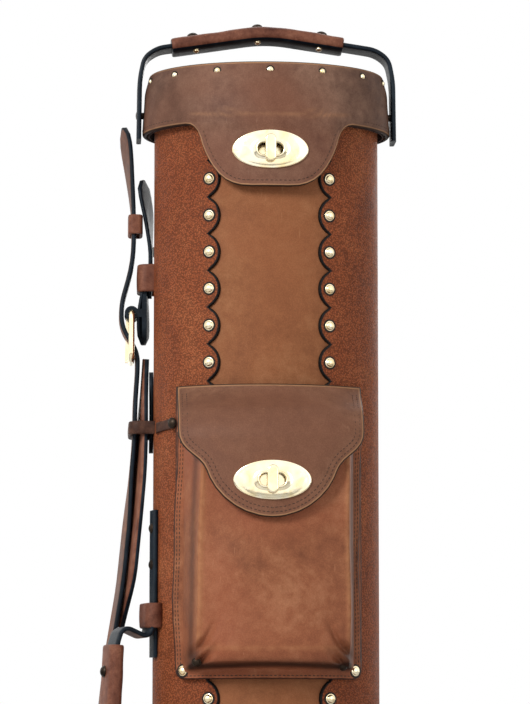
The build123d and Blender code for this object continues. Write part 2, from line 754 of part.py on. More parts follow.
with BuildPart() as strap_keeper:
    with BuildSketch(Plane.XY.offset(765.2)) as keeper_ring:
        with Locations((-80.4, STRAP_Y)):
            Rectangle(9.8, STRAP_W + 5)
        fillet(keeper_ring.vertices(), 2.5)
        with Locations((-80.4, STRAP_Y)):
            Rectangle(5.8, STRAP_W + 1, mode=Mode.SUBTRACT)
    extrude(amount=11.6)
keep(strap_keeper.part, "strap_keeper")

PRONG_W, CHAPE_IN = 2.6, 2.1
with BuildPart() as buckle_chape:
    with BuildSketch(strap_plane):
        with Locations((-74.7, 721)):
            Rectangle(STRAP_T, 46)
        with Locations((-77.6, HEEL_Z)):
            Rectangle(4, 5)
        with Locations((BUCKLE_X, HEEL_Z)):
            Circle(4.3)
            Circle(CHAPE_IN, mode=Mode.SUBTRACT)
    extrude(amount=8.5, both=True)
    with Locations((BUCKLE_X, STRAP_Y, HEEL_Z)):
        Box(8.7, PRONG_W + 0.8, 10, mode=Mode.SUBTRACT)
    with BuildSketch(Plane.YZ) as chape_outline:
        with Locations((STRAP_Y, 721)):
            Rectangle(17, 46)
        fillet(chape_outline.vertices().group_by(Axis.Z)[0], 8.4)
    extrude(amount=-FRONT, mode=Mode.INTERSECT)
keep(buckle_chape.part, "buckle_chape")

frame_half = STRAP_W / 2 + WIRE_R + 1.6
with BuildPart() as buckle_frame:
    with BuildLine(Plane.YZ.offset(BUCKLE_X)) as frame_line:
        FilletPolyline(
            (STRAP_Y - frame_half, HEEL_Z),
            (STRAP_Y + frame_half, HEEL_Z),
            (STRAP_Y + frame_half, TOE_Z),
            (STRAP_Y - frame_half, TOE_Z),
            radius=4,
            close=True,
        )
    with BuildSketch(Plane(origin=frame_line.line @ 0, z_dir=frame_line.line % 0)):
        Circle(WIRE_R)
    sweep()
keep(buckle_frame.part, "buckle_frame")

with BuildPart() as buckle_prong:
    with BuildSketch(strap_plane):
        with Locations((BUCKLE_X, HEEL_Z)):
            Circle(3.6)
        with BuildLine():
            Polyline(
                (BUCKLE_X - 3.4, HEEL_Z - 1),
                (BUCKLE_X - 3.9, TOE_Z - 1),
                (BUCKLE_X - 2.1, TOE_Z - 1),
                (BUCKLE_X - 0.4, HEEL_Z - 3),
                close=True,
            )
        make_face()
        with Locations((BUCKLE_X, HEEL_Z)):
            Circle(WIRE_R + 0.08, mode=Mode.SUBTRACT)
    extrude(amount=PRONG_W / 2, both=True)
keep(buckle_prong.part, "buckle_prong")

# ================= small rivets in the straps =================
with BuildPart() as strap_rivets:
    for x, z in ((-76.2, 704), (-75.1, 104)):
        add(rivet_head(Plane(origin=(x, STRAP_Y, z), z_dir=(-1, 0, 0)), 3, 1.3))
keep(strap_rivets.part, "strap_rivets")

with BuildPart() as leather_rivets:
    for y, z in ((STRAP_Y, 755), (STRAP_Y, 670), (STRAP_Y, 138), (HANDLE_Y, 560), (HANDLE_Y, 582)):
        x = side_surface(TAB_T, y)
        add(rivet_head(normal_plane(TAB_T, x, y, z), RIVET_R, RIVET_H))
    for z in (2 * HANDLE_Z - 560, 2 * HANDLE_Z - 582):
        x = side_surface(TAB_T, HANDLE_Y)
        add(rivet_head(normal_plane(TAB_T, x, HANDLE_Y, z), RIVET_R, RIVET_H))
    tail_x = -58.5
    tail_y = surface(TAB_T + 2, tail_x)
    add(rivet_head(normal_plane(TAB_T + 2, tail_x, tail_y, 644.2), RIVET_R, RIVET_H))
    hinge_out = CAP_IN - 0.6
    for x in (-22, 0, 22):
        y = -surface(hinge_out, x)
        add(rivet_head(normal_plane(hinge_out, x, y, 792), RIVET_R, RIVET_H))
keep(leather_rivets.part, "leather_rivets")
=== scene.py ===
"""The cue case's looks: leather, stitching, rivets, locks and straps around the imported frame."""

import math
import random

import bpy
import numpy as np
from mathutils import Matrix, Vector


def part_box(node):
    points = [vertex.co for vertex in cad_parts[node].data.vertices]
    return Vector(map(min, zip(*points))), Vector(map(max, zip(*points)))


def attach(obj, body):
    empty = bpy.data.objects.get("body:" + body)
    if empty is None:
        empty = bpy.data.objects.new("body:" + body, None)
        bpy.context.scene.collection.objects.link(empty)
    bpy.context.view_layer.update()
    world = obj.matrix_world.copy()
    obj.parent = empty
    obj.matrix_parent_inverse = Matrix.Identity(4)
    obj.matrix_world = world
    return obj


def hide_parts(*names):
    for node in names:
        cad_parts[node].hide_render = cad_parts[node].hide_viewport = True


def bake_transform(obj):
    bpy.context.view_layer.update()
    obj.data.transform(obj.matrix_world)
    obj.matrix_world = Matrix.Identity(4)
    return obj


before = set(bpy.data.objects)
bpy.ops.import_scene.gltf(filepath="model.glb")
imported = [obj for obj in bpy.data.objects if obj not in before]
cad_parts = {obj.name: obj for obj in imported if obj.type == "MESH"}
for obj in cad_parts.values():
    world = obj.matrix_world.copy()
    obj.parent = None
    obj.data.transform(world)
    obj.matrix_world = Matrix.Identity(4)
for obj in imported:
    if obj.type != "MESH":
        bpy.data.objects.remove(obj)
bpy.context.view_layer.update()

MM = 0.001

# ---------------------------------------------------------------- sizes, in mm, from the frame
wrap_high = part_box("side_wrap")[1] / MM
BODY_A, BODY_B, LEATHER_TOP = wrap_high.x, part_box("inner_shell")[1].y / MM + 4.2, wrap_high.z
CAP_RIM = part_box("cap_wall")[0].z / MM
CAP_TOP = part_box("cap_wall")[1].z / MM
CAP_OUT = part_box("cap_wall")[1].x / MM - BODY_A
CAP_WALL_T = 2.4
BOOT_TOP, BOOT_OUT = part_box("base_boot")[1].z / MM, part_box("base_boot")[1].x / MM - BODY_A
SOLE_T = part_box("base_sole")[1].z / MM
WRAP_T, PANEL_T = 2.2, 2.0
RIVET_X, RIVET_PITCH, RIVET_TOP = 36.4, 22.4, 814.4
SCALLOP_PEAK, SCALLOP_CUSP = 30.4, 37.2
POCKET_HALF, POCKET_FLANGE, POCKET_OUT, POCKET_T = 47.0, 56.0, 27.0, 2.2
FLAP_T, FLAP_IN = 2.4, 28.8
MOUTH_DROP, FLAP_LOCK_DROP = 27.5, 60.0
POCKETS = {
    name: (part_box(f"{name}_pocket_back")[0].z / MM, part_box(f"{name}_pocket_back")[1].z / MM)
    for name in ("upper", "lower")
}
CAP_LOCK_Z = 808.0
LOCK_HOLE = (8.6, 4.6)
POCKET_CORNER, HINGE_CORNER = 6.0, 14.0
STRAP_Y, STRAP_W, STRAP_T = 14.0, 20.0, 3.0
HANDLE_Y, HANDLE_Z, SLEEVE_HALF, SLEEVE_T, SLEEVE_W = -10.0, 457.0, 52.0, 10.0, 24.0
# How far from a cut edge a hide's grid lines run, so that the edge is round.
INSETS = (0.0, 0.15, 0.4, 0.8, 1.3, 2.2, 3.6)
# A stitch is a bar with these rings: a share of its length and a share of its radius.
STITCH_RINGS = ((-0.5, 0.25), (-0.34, 0.85), (0.0, 1.0), (0.34, 0.85), (0.5, 0.25))
STITCH_SIDES = 6


# ---------------------------------------------------------------- materials
def srgb(red, green, blue):
    """An 8-bit sRGB colour as linear RGBA."""
    return tuple(
        ((c / 255 + 0.055) / 1.055) ** 2.4 if c > 10 else c / 255 / 12.92 for c in (red, green, blue)
    ) + (1.0,)


def start_material(name):
    """A new node material, its Principled shader, and a function that adds and wires nodes."""
    material = bpy.data.materials.new(name)
    material.use_nodes = True
    tree = material.node_tree
    shader = tree.nodes["Principled BSDF"]

    def node(kind, wires=None, **values):
        made = tree.nodes.new(kind)
        for key, value in values.items():
            if key.startswith("in_"):
                made.inputs[key[3:].replace("_", " ")].default_value = value
            else:
                setattr(made, key, value)
        for socket, source in (wires or {}).items():
            tree.links.new(source, made.inputs[socket])
        return made

    def ramp(source, stops):
        made = node("ShaderNodeValToRGB", {"Fac": source})
        elements = made.color_ramp.elements
        elements[0].position, elements[0].color = stops[0]
        elements[-1].position, elements[-1].color = stops[-1]
        for position, colour in stops[1:-1]:
            elements.new(position).color = colour
        return made.outputs["Color"]

    return material, tree, shader, node, ramp


def grey(value):
    """A grey as RGBA."""
    return (value, value, value, 1.0)


def leather(
    name, dark, mid, light, pebble=0.0, rough=(0.5, 0.72), edge=None, edge_mm=1.2, scuffs=0.5, pore=0.35,
    worn=None, blush=None, shade_paint=None, rim=None,
):
    """Oiled leather: cloudy colour, pebbles or fine pores, scuffs, and a burnished or inked edge, which on the
    pebbled wrap is also painted shadow; optionally a painted shadow line at the outermost edge, and painted
    shade laid on from a per-point attribute.
    """
    material, tree, shader, node, ramp = start_material(name)

    def tint(tone, share, colour):
        mixed = node("ShaderNodeMix", {0: share, 6: tone}, data_type="RGBA")
        mixed.inputs[7].default_value = srgb(*colour)
        return mixed.outputs[2]

    place = node("ShaderNodeTexCoord").outputs["Object"]
    cloud = node(
        "ShaderNodeTexNoise", {"Vector": place}, in_Scale=19.0, in_Detail=7.0, in_Roughness=0.66,
        in_Distortion=1.0,
    )
    spots = node("ShaderNodeTexNoise", {"Vector": place}, in_Scale=150.0, in_Detail=5.0, in_Roughness=0.65)
    both = node("ShaderNodeMix", {2: cloud.outputs["Fac"], 3: spots.outputs["Fac"]}, data_type="FLOAT")
    both.inputs[0].default_value = 0.4
    tone = ramp(both.outputs[0], [(0.36, srgb(*dark)), (0.5, srgb(*mid)), (0.64, srgb(*light))])

    if blush is not None:
        wide = node("ShaderNodeTexNoise", {"Vector": place}, in_Scale=7.5, in_Detail=3.0, in_Distortion=0.5)
        patch = ramp(wide.outputs["Fac"], [(0.42, grey(0.0)), (0.62, grey(0.75))])
        tone = tint(tone, patch, blush)
    warp = node("ShaderNodeTexNoise", {"Vector": place}, in_Scale=320.0, in_Detail=2.0)
    warped = node("ShaderNodeVectorMath", {0: warp.outputs["Color"]}, operation="SCALE", in_Scale=0.0011)
    moved = node("ShaderNodeVectorMath", {0: place, 1: warped.outputs[0]}, operation="ADD")
    cells = node(
        "ShaderNodeTexVoronoi", {"Vector": moved.outputs[0]}, feature="F1",
        in_Scale=1000.0 / (pebble or 0.8),
    )
    valley = ramp(
        cells.outputs["Distance"], [(0.25, grey(1.0)), (0.62, grey(1.0 - (0.56 if pebble else 0.14)))],
    )
    tone = node(
        "ShaderNodeMix", {6: tone, 7: valley}, data_type="RGBA", blend_type="MULTIPLY", in_Factor=1.0,
    ).outputs[2]

    stretch = node(
        "ShaderNodeMapping", {"Vector": place}, in_Scale=(260.0, 260.0, 34.0), in_Rotation=(0.4, 0.5, 0.3),
    )
    streak = node("ShaderNodeTexNoise", {"Vector": stretch.outputs[0]}, in_Scale=1.0, in_Detail=3.0)
    scuff = ramp(streak.outputs["Fac"], [(0.69, grey(0.0)), (0.74, grey(scuffs * 0.55))])
    tone = node("ShaderNodeMix", {0: scuff, 6: tone}, data_type="RGBA", in_B=srgb(*light)).outputs[2]

    # Edge band: the cut edge's own burnished or dyed colour; on the pebbled wrap it is also painted shadow.
    if edge is not None:
        border = node("ShaderNodeAttribute", attribute_name="edge").outputs["Fac"]
        ragged = node("ShaderNodeMath", {0: border, 1: spots.outputs["Fac"]}, operation="ADD")
        scaled = node("ShaderNodeMath", {0: ragged.outputs[0]}, operation="DIVIDE")
        scaled.inputs[1].default_value = edge_mm + 0.5
        near = ramp(scaled.outputs[0], [(0.72, grey(1.0)), (1.0, grey(0.0))])
        tone = tint(tone, near, edge)
        # Painted shadow: the outermost part of a cut edge goes near black, as the shadow line under a raised
        # edge.
        if rim is not None:
            outermost = ramp(border, [(0.5, grey(0.95)), (0.85, grey(0.0))])
            tone = tint(tone, outermost, rim)
    if worn is not None:
        rubbed = node("ShaderNodeAttribute", attribute_name="worn").outputs["Fac"]
        patchy = ramp(spots.outputs["Fac"], [(0.35, grey(0.45)), (0.6, grey(1.0))])
        rubbed = node("ShaderNodeMath", {0: rubbed, 1: patchy}, operation="MULTIPLY")
        tone = tint(tone, rubbed.outputs[0], worn)
    # Painted shade: a per-point attribute darkens the colour towards a near-black shade colour.
    if shade_paint is not None:
        tone = tint(tone, node("ShaderNodeAttribute", attribute_name="shade_paint").outputs["Fac"], shade_paint)
    tree.links.new(tone, shader.inputs["Base Color"])
    gloss = ramp(cloud.outputs["Fac"], [(0.3, grey(rough[0])), (0.7, grey(rough[1]))])
    tree.links.new(gloss, shader.inputs["Roughness"])
    shader.inputs["Specular IOR Level"].default_value = 0.16

    fine = node("ShaderNodeTexNoise", {"Vector": place}, in_Scale=1500.0, in_Detail=3.0)
    low = node("ShaderNodeBump", {"Height": cloud.outputs["Fac"]}, in_Strength=0.35, in_Distance=0.0016)
    round_cells = ramp(cells.outputs["Distance"], [(0.1, grey(1.0)), (0.7, grey(0.0))])
    grain = node(
        "ShaderNodeBump", {"Height": round_cells, "Normal": low.outputs[0]},
        in_Strength=0.75 if pebble else 0.3,
    )
    grain.inputs["Distance"].default_value = 0.0004 if pebble else 0.00014
    top = node(
        "ShaderNodeBump", {"Height": fine.outputs["Fac"], "Normal": grain.outputs[0]}, in_Strength=pore,
    )
    top.inputs["Distance"].default_value = 0.00012
    tree.links.new(top.outputs[0], shader.inputs["Normal"])
    return material


def metal(name, bright, dull, rough):
    """Polished brass with faint tarnish and fine scratches."""
    material, tree, shader, node, ramp = start_material(name)
    place = node("ShaderNodeTexCoord").outputs["Object"]
    tarnish = node("ShaderNodeTexNoise", {"Vector": place}, in_Scale=130.0, in_Detail=4.0, in_Distortion=0.8)
    tree.links.new(
        ramp(tarnish.outputs["Fac"], [(0.35, srgb(*bright)), (0.75, srgb(*dull))]),
        shader.inputs["Base Color"],
    )
    stretch = node("ShaderNodeMapping", {"Vector": place}, in_Scale=(300.0, 300.0, 2500.0))
    lines = node("ShaderNodeTexNoise", {"Vector": stretch.outputs[0]}, in_Scale=1.0, in_Detail=3.0)
    tree.links.new(
        ramp(lines.outputs["Fac"], [(0.3, grey(rough)), (0.7, grey(rough + 0.1))]),
        shader.inputs["Roughness"],
    )
    bump = node("ShaderNodeBump", {"Height": tarnish.outputs["Fac"]}, in_Strength=0.25, in_Distance=0.0004)
    tree.links.new(bump.outputs[0], shader.inputs["Normal"])
    shader.inputs["Metallic"].default_value = 1.0
    return material


def plain(name, colour, other, scale, rough, bump=0.3, depth=0.0003):
    """Cloth, board, wood or rubber: two colours mixed by noise, with a matching bump."""
    material, tree, shader, node, ramp = start_material(name)
    place = node("ShaderNodeTexCoord").outputs["Object"]
    noise = node("ShaderNodeTexNoise", {"Vector": place}, in_Scale=scale, in_Detail=6.0, in_Roughness=0.7)
    tree.links.new(
        ramp(noise.outputs["Fac"], [(0.35, srgb(*colour)), (0.65, srgb(*other))]),
        shader.inputs["Base Color"],
    )
    shader.inputs["Roughness"].default_value = rough
    relief = node("ShaderNodeBump", {"Height": noise.outputs["Fac"]}, in_Strength=bump, in_Distance=depth)
    tree.links.new(relief.outputs[0], shader.inputs["Normal"])
    return material


BURNISH = (180, 134, 98)
# The wrap's black edge band is its dyed edge and, painted wider than the edge face, the shadow that edge casts
# on the panel.
PEBBLED = leather(
    "pebbled_leather", (140, 73, 42), (174, 96, 58), (194, 116, 74), pebble=1.05, rough=(0.48, 0.64),
    edge=(14, 12, 12), edge_mm=1.25, scuffs=0.25, blush=(148, 74, 42),
)
PANEL = leather(
    "panel_leather", (112, 68, 42), (148, 96, 62), (174, 122, 84), rough=(0.55, 0.75), scuffs=0.8,
    blush=(156, 96, 62),
)
# The pouch's last, near-black colour is painted shade laid into its folds.
POUCH = leather(
    "pouch_leather", (128, 76, 52), (154, 96, 66), (180, 122, 88), rough=(0.46, 0.66), edge=(60, 34, 25),
    edge_mm=0.8, scuffs=1.0, worn=(186, 130, 88), blush=(158, 88, 60), shade_paint=(34, 18, 13),
)
# The trim's last colour is painted shade on the cap's sides, and its rim colour is a painted shadow line along
# its cut edges.
TRIM = leather(
    "trim_leather", (82, 56, 48), (124, 92, 76), (154, 118, 98), rough=(0.48, 0.68), edge=BURNISH,
    edge_mm=1.6, scuffs=0.8, worn=(170, 122, 88), blush=(128, 82, 62), rim=(30, 19, 15),
    shade_paint=(52, 30, 24),
)
# The flap's rim colour is a painted shadow line along its cut edge.
FLAP = leather(
    "flap_leather", (88, 58, 44), (128, 90, 68), (156, 114, 90), rough=(0.5, 0.7), edge=(168, 124, 90),
    edge_mm=1.6, scuffs=0.8, worn=(160, 116, 84), blush=(130, 86, 66), rim=(30, 18, 14),
)
GRIP = leather("grip_leather", (78, 40, 30), (126, 78, 60), (160, 108, 84), rough=(0.42, 0.62), scuffs=0.9)
THONG = leather("thong_leather", (42, 26, 20), (72, 46, 36), (108, 74, 58), rough=(0.4, 0.6), scuffs=0.8)
STRAP = leather("strap_leather", (10, 17, 24), (17, 28, 38), (34, 46, 56), rough=(0.34, 0.52), scuffs=0.3)
STRAP_TOP = leather(
    "strap_top_leather", (72, 42, 30), (108, 68, 50), (144, 98, 74), rough=(0.42, 0.62),
    edge=(14, 20, 27), edge_mm=1.3,
)
BRASS = metal("brass_polished", (255, 246, 220), (250, 228, 176), 0.12)
RIVET = metal("brass_rivet_metal", (255, 244, 214), (238, 210, 152), 0.16)
AGED = metal("aged_metal", (58, 48, 40), (30, 26, 24), 0.35)
# Painted shade: near black, for the rings round the rivets.
RIVET_SHADE = plain("rivet_shade_paint", (20, 12, 9), (34, 22, 16), 500.0, 0.9)
THREAD = plain("stitch_thread", (58, 36, 26), (92, 62, 44), 900.0, 0.8)
SHELL = plain("shell_board_face", (22, 20, 19), (34, 31, 29), 400.0, 0.7)
FLOCK = plain("liner_flock", (24, 23, 24), (44, 41, 42), 1500.0, 0.95, 0.6)
CLOTH = plain("lining_pile", (42, 26, 22), (66, 44, 38), 1300.0, 0.95, 0.6)
WOOD = plain("disc_wood", (126, 92, 60), (168, 128, 86), 60.0, 0.7)
RUBBER = plain("foot_rubber_face", (24, 23, 22), (38, 36, 35), 500.0, 0.75)


# ---------------------------------------------------------------- mesh helpers
def clamp(value):
    """The value held between 0 and 1."""
    return min(1.0, max(0.0, value))


def smooth_step(value):
    """A soft step from 0 to 1."""
    value = clamp(value)
    return value * value * (3 - 2 * value)


def bell(gap, width):
    """A smooth bump: 1 where the gap is 0, and nearly 0 two widths away."""
    return math.exp(-((gap / width) ** 2))


def finish_mesh(name, vertices, faces, material, edge=None, slots=None, extra=(), worn=None, shade_paint=None):
    """A smooth-shaded object from points in mm. edge is each point's distance from the leather's cut edge."""
    mesh = bpy.data.meshes.new(name)
    mesh.from_pydata([tuple(c * MM for c in v) for v in vertices], [], faces)
    mesh.validate()
    mesh.shade_smooth()
    for m in (material, *extra):
        mesh.materials.append(m)
    for key, values in (("edge", edge), ("worn", worn), ("shade_paint", shade_paint)):
        if values is not None:
            mesh.attributes.new(key, "FLOAT", "POINT").data.foreach_set(
                "value", np.asarray(values, np.float32),
            )
    if slots is not None:
        mesh.polygons.foreach_set("material_index", slots)
    made = bpy.data.objects.new(name, mesh)
    bpy.context.scene.collection.objects.link(made)
    return made


def put(piece, body, slot, *nodes):
    """Rides the piece on a body and lets it stand for its CAD nodes."""
    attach(piece, body)
    if nodes:
        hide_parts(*nodes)
    return piece


def fold(piece, bodies, slot, start, end, *nodes):
    """Bakes the piece's transform where it stands and hides its CAD nodes; start and end, in mm, are not used.
    """
    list(bodies)
    [c * MM for c in start]
    [c * MM for c in end]
    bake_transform(piece)
    if nodes:
        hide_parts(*nodes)
    return piece


def front(x, z, offset):
    """A point on the oval's front."""
    return (x, -(BODY_B + offset) * math.sqrt(max(0.0, 1 - (x / (BODY_A + offset)) ** 2)), z)


def around(turn, z, offset):
    """A point on the oval; turn 0 is the front and pi/2 is +X."""
    return ((BODY_A + offset) * math.sin(turn), -(BODY_B + offset) * math.cos(turn), z)


def normal_at(x, y, offset):
    """The outward direction at a point of the oval."""
    return Vector((x / (BODY_A + offset) ** 2, y / (BODY_B + offset) ** 2, 0)).normalized()


def spread(low, high, count):
    """Values from low to high, crowded at both ends for the rounded edges."""
    width = high - low
    shrink = min(1.0, width / (3 * INSETS[-1]))
    near = [inset * shrink for inset in INSETS]
    inner = np.linspace(low + near[-1], high - near[-1], count)[1:-1]
    return [low + n for n in near] + list(inner) + [high - n for n in reversed(near)]


def outline_distance(points, outline):
    """Each point's distance from a closed outline."""
    points, outline = np.asarray(points, float), np.asarray(outline, float)
    a, b = outline, np.roll(outline, -1, axis=0)
    along = b - a
    length2 = np.maximum((along**2).sum(1), 1e-12)
    best = np.full(len(points), 1e9)
    for start in range(0, len(points), 4000):
        p = points[start : start + 4000, None, :]
        t = np.clip(((p - a) * along).sum(2) / length2, 0, 1)
        best[start : start + 4000] = np.sqrt((((a + t[..., None] * along) - p) ** 2).sum(2)).min(1)
    return best


def corner_width(half, rise, corner):
    """Half width at a rise above a foot with rounded corners."""
    return half if rise > corner else half - corner + math.sqrt(max(0.0, corner**2 - (corner - rise) ** 2))


def lock_hole(z):
    """Tells which points of a hide lie in its opening for the lock at height z."""
    return lambda u, v: abs(u) < LOCK_HOLE[0] and abs(v - z) < LOCK_HOLE[1]


def front_spot(x, z, offset):
    """A seat on the oval's front with its outward direction."""
    seat = front(x, z, offset)
    return seat, normal_at(seat[0], seat[1], offset)


def skin_faces(rows, cols, closed=False, skip=None):
    """Faces of a skin: a grid of points outside, the same grid inside, and the edges between them."""
    count = rows * cols
    faces = []
    span = cols if closed else cols - 1
    for r in range(rows - 1):
        for c in range(span):
            d = (c + 1) % cols
            if skip and skip(r, c, d):
                continue
            a, b, e, f = r * cols + c, r * cols + d, (r + 1) * cols + d, (r + 1) * cols + c
            faces += [(a, b, e, f), (count + f, count + e, count + b, count + a)]
    for c in range(span):
        d = (c + 1) % cols
        faces.append((d, c, count + c, count + d))
        a, b = (rows - 1) * cols + c, (rows - 1) * cols + d
        faces.append((a, b, count + b, count + a))
    if not closed:
        for r in range(rows - 1):
            a, b = r * cols, (r + 1) * cols
            faces.append((a, b, count + b, count + a))
            a, b = a + cols - 1, b + cols - 1
            faces.append((b, a, count + a, count + b))
    return faces


def hide(
    name, us, vs, place, thickness, material, round_mm=0.9, relief=None, outline=None, closed=False,
    worn=None, hole=None, shade_paint=None,
):
    """A piece of leather from a grid of flat positions (us, vs), laid on a surface by place(u, v, height)."""
    us, vs = np.asarray(us, float), np.asarray(vs, float)
    rows, cols = us.shape
    flat = np.stack([us.ravel(), vs.ravel()], 1)
    if outline is None:
        loop = [(r, 0) for r in range(rows)] + [(rows - 1, c) for c in range(1, cols)]
        loop += [(r, cols - 1) for r in range(rows - 2, -1, -1)] + [(0, c) for c in range(cols - 2, 0, -1)]
        outline = [(us[r, c], vs[r, c]) for r, c in loop]
    edge = outline_distance(flat, outline)
    near = np.minimum(edge, round_mm)
    drop = round_mm - np.sqrt(round_mm**2 - (round_mm - near) ** 2)
    raised = thickness - drop
    if relief is not None:
        raised = raised + np.array([relief(u, v, d) for (u, v), d in zip(flat, edge)])
    outer = [place(u, v, h) for (u, v), h in zip(flat, raised)]
    inner = [place(u, v, 0.0) for u, v in flat]
    count = rows * cols

    def skip(r, c, d):
        """True for a face in the hole; a closed hide's seam stays whole."""
        return hole and d and hole((us[r, c] + us[r, d]) / 2, (vs[r, c] + vs[r + 1, c]) / 2)

    faces = skin_faces(rows, cols, closed, skip)
    rubbed = None
    if worn is not None:
        rubbed = [worn(u, v, d) for (u, v), d in zip(flat, edge)] + [0.0] * count
    shading = None
    if shade_paint is not None:
        shading = [shade_paint(u, v) for u, v in flat] + [0.0] * count
    edges = np.concatenate([edge, edge])
    return finish_mesh(name, outer + inner, faces, material, edge=edges, worn=rubbed, shade_paint=shading)


def row_grid(levels, left, right, count):
    """Grid positions for a shape that each level crosses once, between left(z) and right(z)."""
    us = [spread(left(z), right(z), count) for z in levels]
    vs = [[z] * len(us[0]) for z in levels]
    return us, vs


def turned_faces(base, rings, sides):
    """Faces of a closed turned solid whose rings of points start at index base."""
    faces = []
    for ring in range(rings - 1):
        for k in range(sides):
            a, b = base + ring * sides + k, base + ring * sides + (k + 1) % sides
            faces.append((a, b, b + sides, a + sides))
    last = base + (rings - 1) * sides
    faces.append(tuple(range(base + sides - 1, base - 1, -1)))
    faces.append(tuple(range(last, last + sides)))
    return faces


def stitches(
    name, path, normals, body, slot="trim_leather", pitch=3.3, length=2.3, radius=0.34, fold_args=None,
):
    """A row of thread stitches along a path of points in mm, each a small rounded bar."""
    points = [Vector(p) for p in path]
    walked, vertices, faces = 0.0, [], []
    goal = pitch / 2
    for a, b, normal in zip(points, points[1:], normals):
        step = (b - a).length
        while step > 1e-9 and goal <= walked + step:
            middle = a + (b - a) * ((goal - walked) / step)
            along = (b - a).normalized()
            side = along.cross(normal).normalized()
            base = len(vertices)
            for s, r in STITCH_RINGS:
                for k in range(STITCH_SIDES):
                    turn = math.tau * k / STITCH_SIDES
                    out = side * (math.cos(turn) * radius * r) + normal * (math.sin(turn) * radius * r)
                    vertices.append(middle + along * (s * length) + out)
            faces += turned_faces(base, len(STITCH_RINGS), STITCH_SIDES)
            goal += pitch
        walked += step
    made = finish_mesh(name, vertices, faces, THREAD)
    if fold_args:
        return fold(made, *fold_args)
    return put(made, body, slot)


def lathe(name, profile, spots, material, body, slot, *nodes, sides=24):
    """Turned heads: profile is (radius, height) pairs, and each spot is a seat and an outward direction."""
    vertices, faces = [], []
    for seat, normal in spots:
        seat, normal = Vector(seat), Vector(normal).normalized()
        u = normal.orthogonal().normalized()
        v = normal.cross(u)
        base = len(vertices)
        for radius, height in profile:
            for k in range(sides):
                turn = math.tau * k / sides
                vertices.append(
                    seat + u * (radius * math.cos(turn)) + v * (radius * math.sin(turn)) + normal * height
                )
        faces += turned_faces(base, len(profile), sides)
    return put(finish_mesh(name, vertices, faces, material), body, slot, *nodes)


def shade_washers(name, spots, radius, body):
    """A near-black ring round each rivet: painted shade where the rivet meets the leather, built as a thin
    washer.
    """
    lathe(
        name, [(radius + 0.9, -0.3), (radius + 0.9, 0.1), (radius + 0.5, 0.16), (radius - 0.3, 0.12)],
        spots, RIVET_SHADE, body, "brass_rivet",
    )


def rivet_profile(radius, height):
    """A flanged dome."""
    dome = [
        (radius * 0.8 * math.cos(a), height * (0.28 + 0.72 * math.sin(a)))
        for a in np.linspace(0.0, 1.45, 7)
    ]
    return [
        (radius, 0.0), (radius, height * 0.16), (radius * 0.95, height * 0.26),
        (radius * 0.83, height * 0.22),
    ] + dome


def path_points(points, radii):
    """A flat run of straight stretches and arcs: its points."""
    out = [Vector(points[0])]
    for before, corner, after, radius in zip(points, points[1:], points[2:], radii):
        p0, p1, p2 = Vector(before), Vector(corner), Vector(after)
        d0, d1 = (p1 - p0).normalized(), (p2 - p1).normalized()
        turn = d0.angle_signed(d1) if (d0 - d1).length > 1e-6 else 0.0
        reach = radius * math.tan(abs(turn) / 2)
        start = p1 - d0 * reach
        steps = max(3, int(abs(turn) / math.radians(5)) + 2)
        side = Vector((-d0.y, d0.x)) * (-1 if turn > 0 else 1)
        centre = start + side * radius
        for k in range(steps + 1):
            angle = -turn * k / steps
            arm = start - centre
            spun = Vector((
                arm.x * math.cos(angle) - arm.y * math.sin(angle),
                arm.x * math.sin(angle) + arm.y * math.cos(angle),
            ))
            out.append(centre + spun)
    out.append(Vector(points[-1]))
    thinned = [out[0]]
    for p in out[1:]:
        if (p - thinned[-1]).length > 0.05:
            thinned.append(p)
    dense = [thinned[0]]
    for p in thinned[1:]:
        gap = (p - dense[-1]).length
        last = dense[-1]
        for k in range(1, int(gap / 6) + 1):
            dense.append(last + (p - last) * (k / (int(gap / 6) + 1)))
        dense.append(p)
    return dense


def bend_radii(points, largest):
    """For each corner of a run, the largest arc that its two stretches leave room for."""
    radii = []
    for before, corner, after in zip(points, points[1:], points[2:]):
        arriving, leaving = Vector(corner) - Vector(before), Vector(after) - Vector(corner)
        turn = arriving.angle(leaving)
        radii.append(min(largest, 0.45 * min(arriving.length, leaving.length) / math.tan(turn / 2)))
    return radii


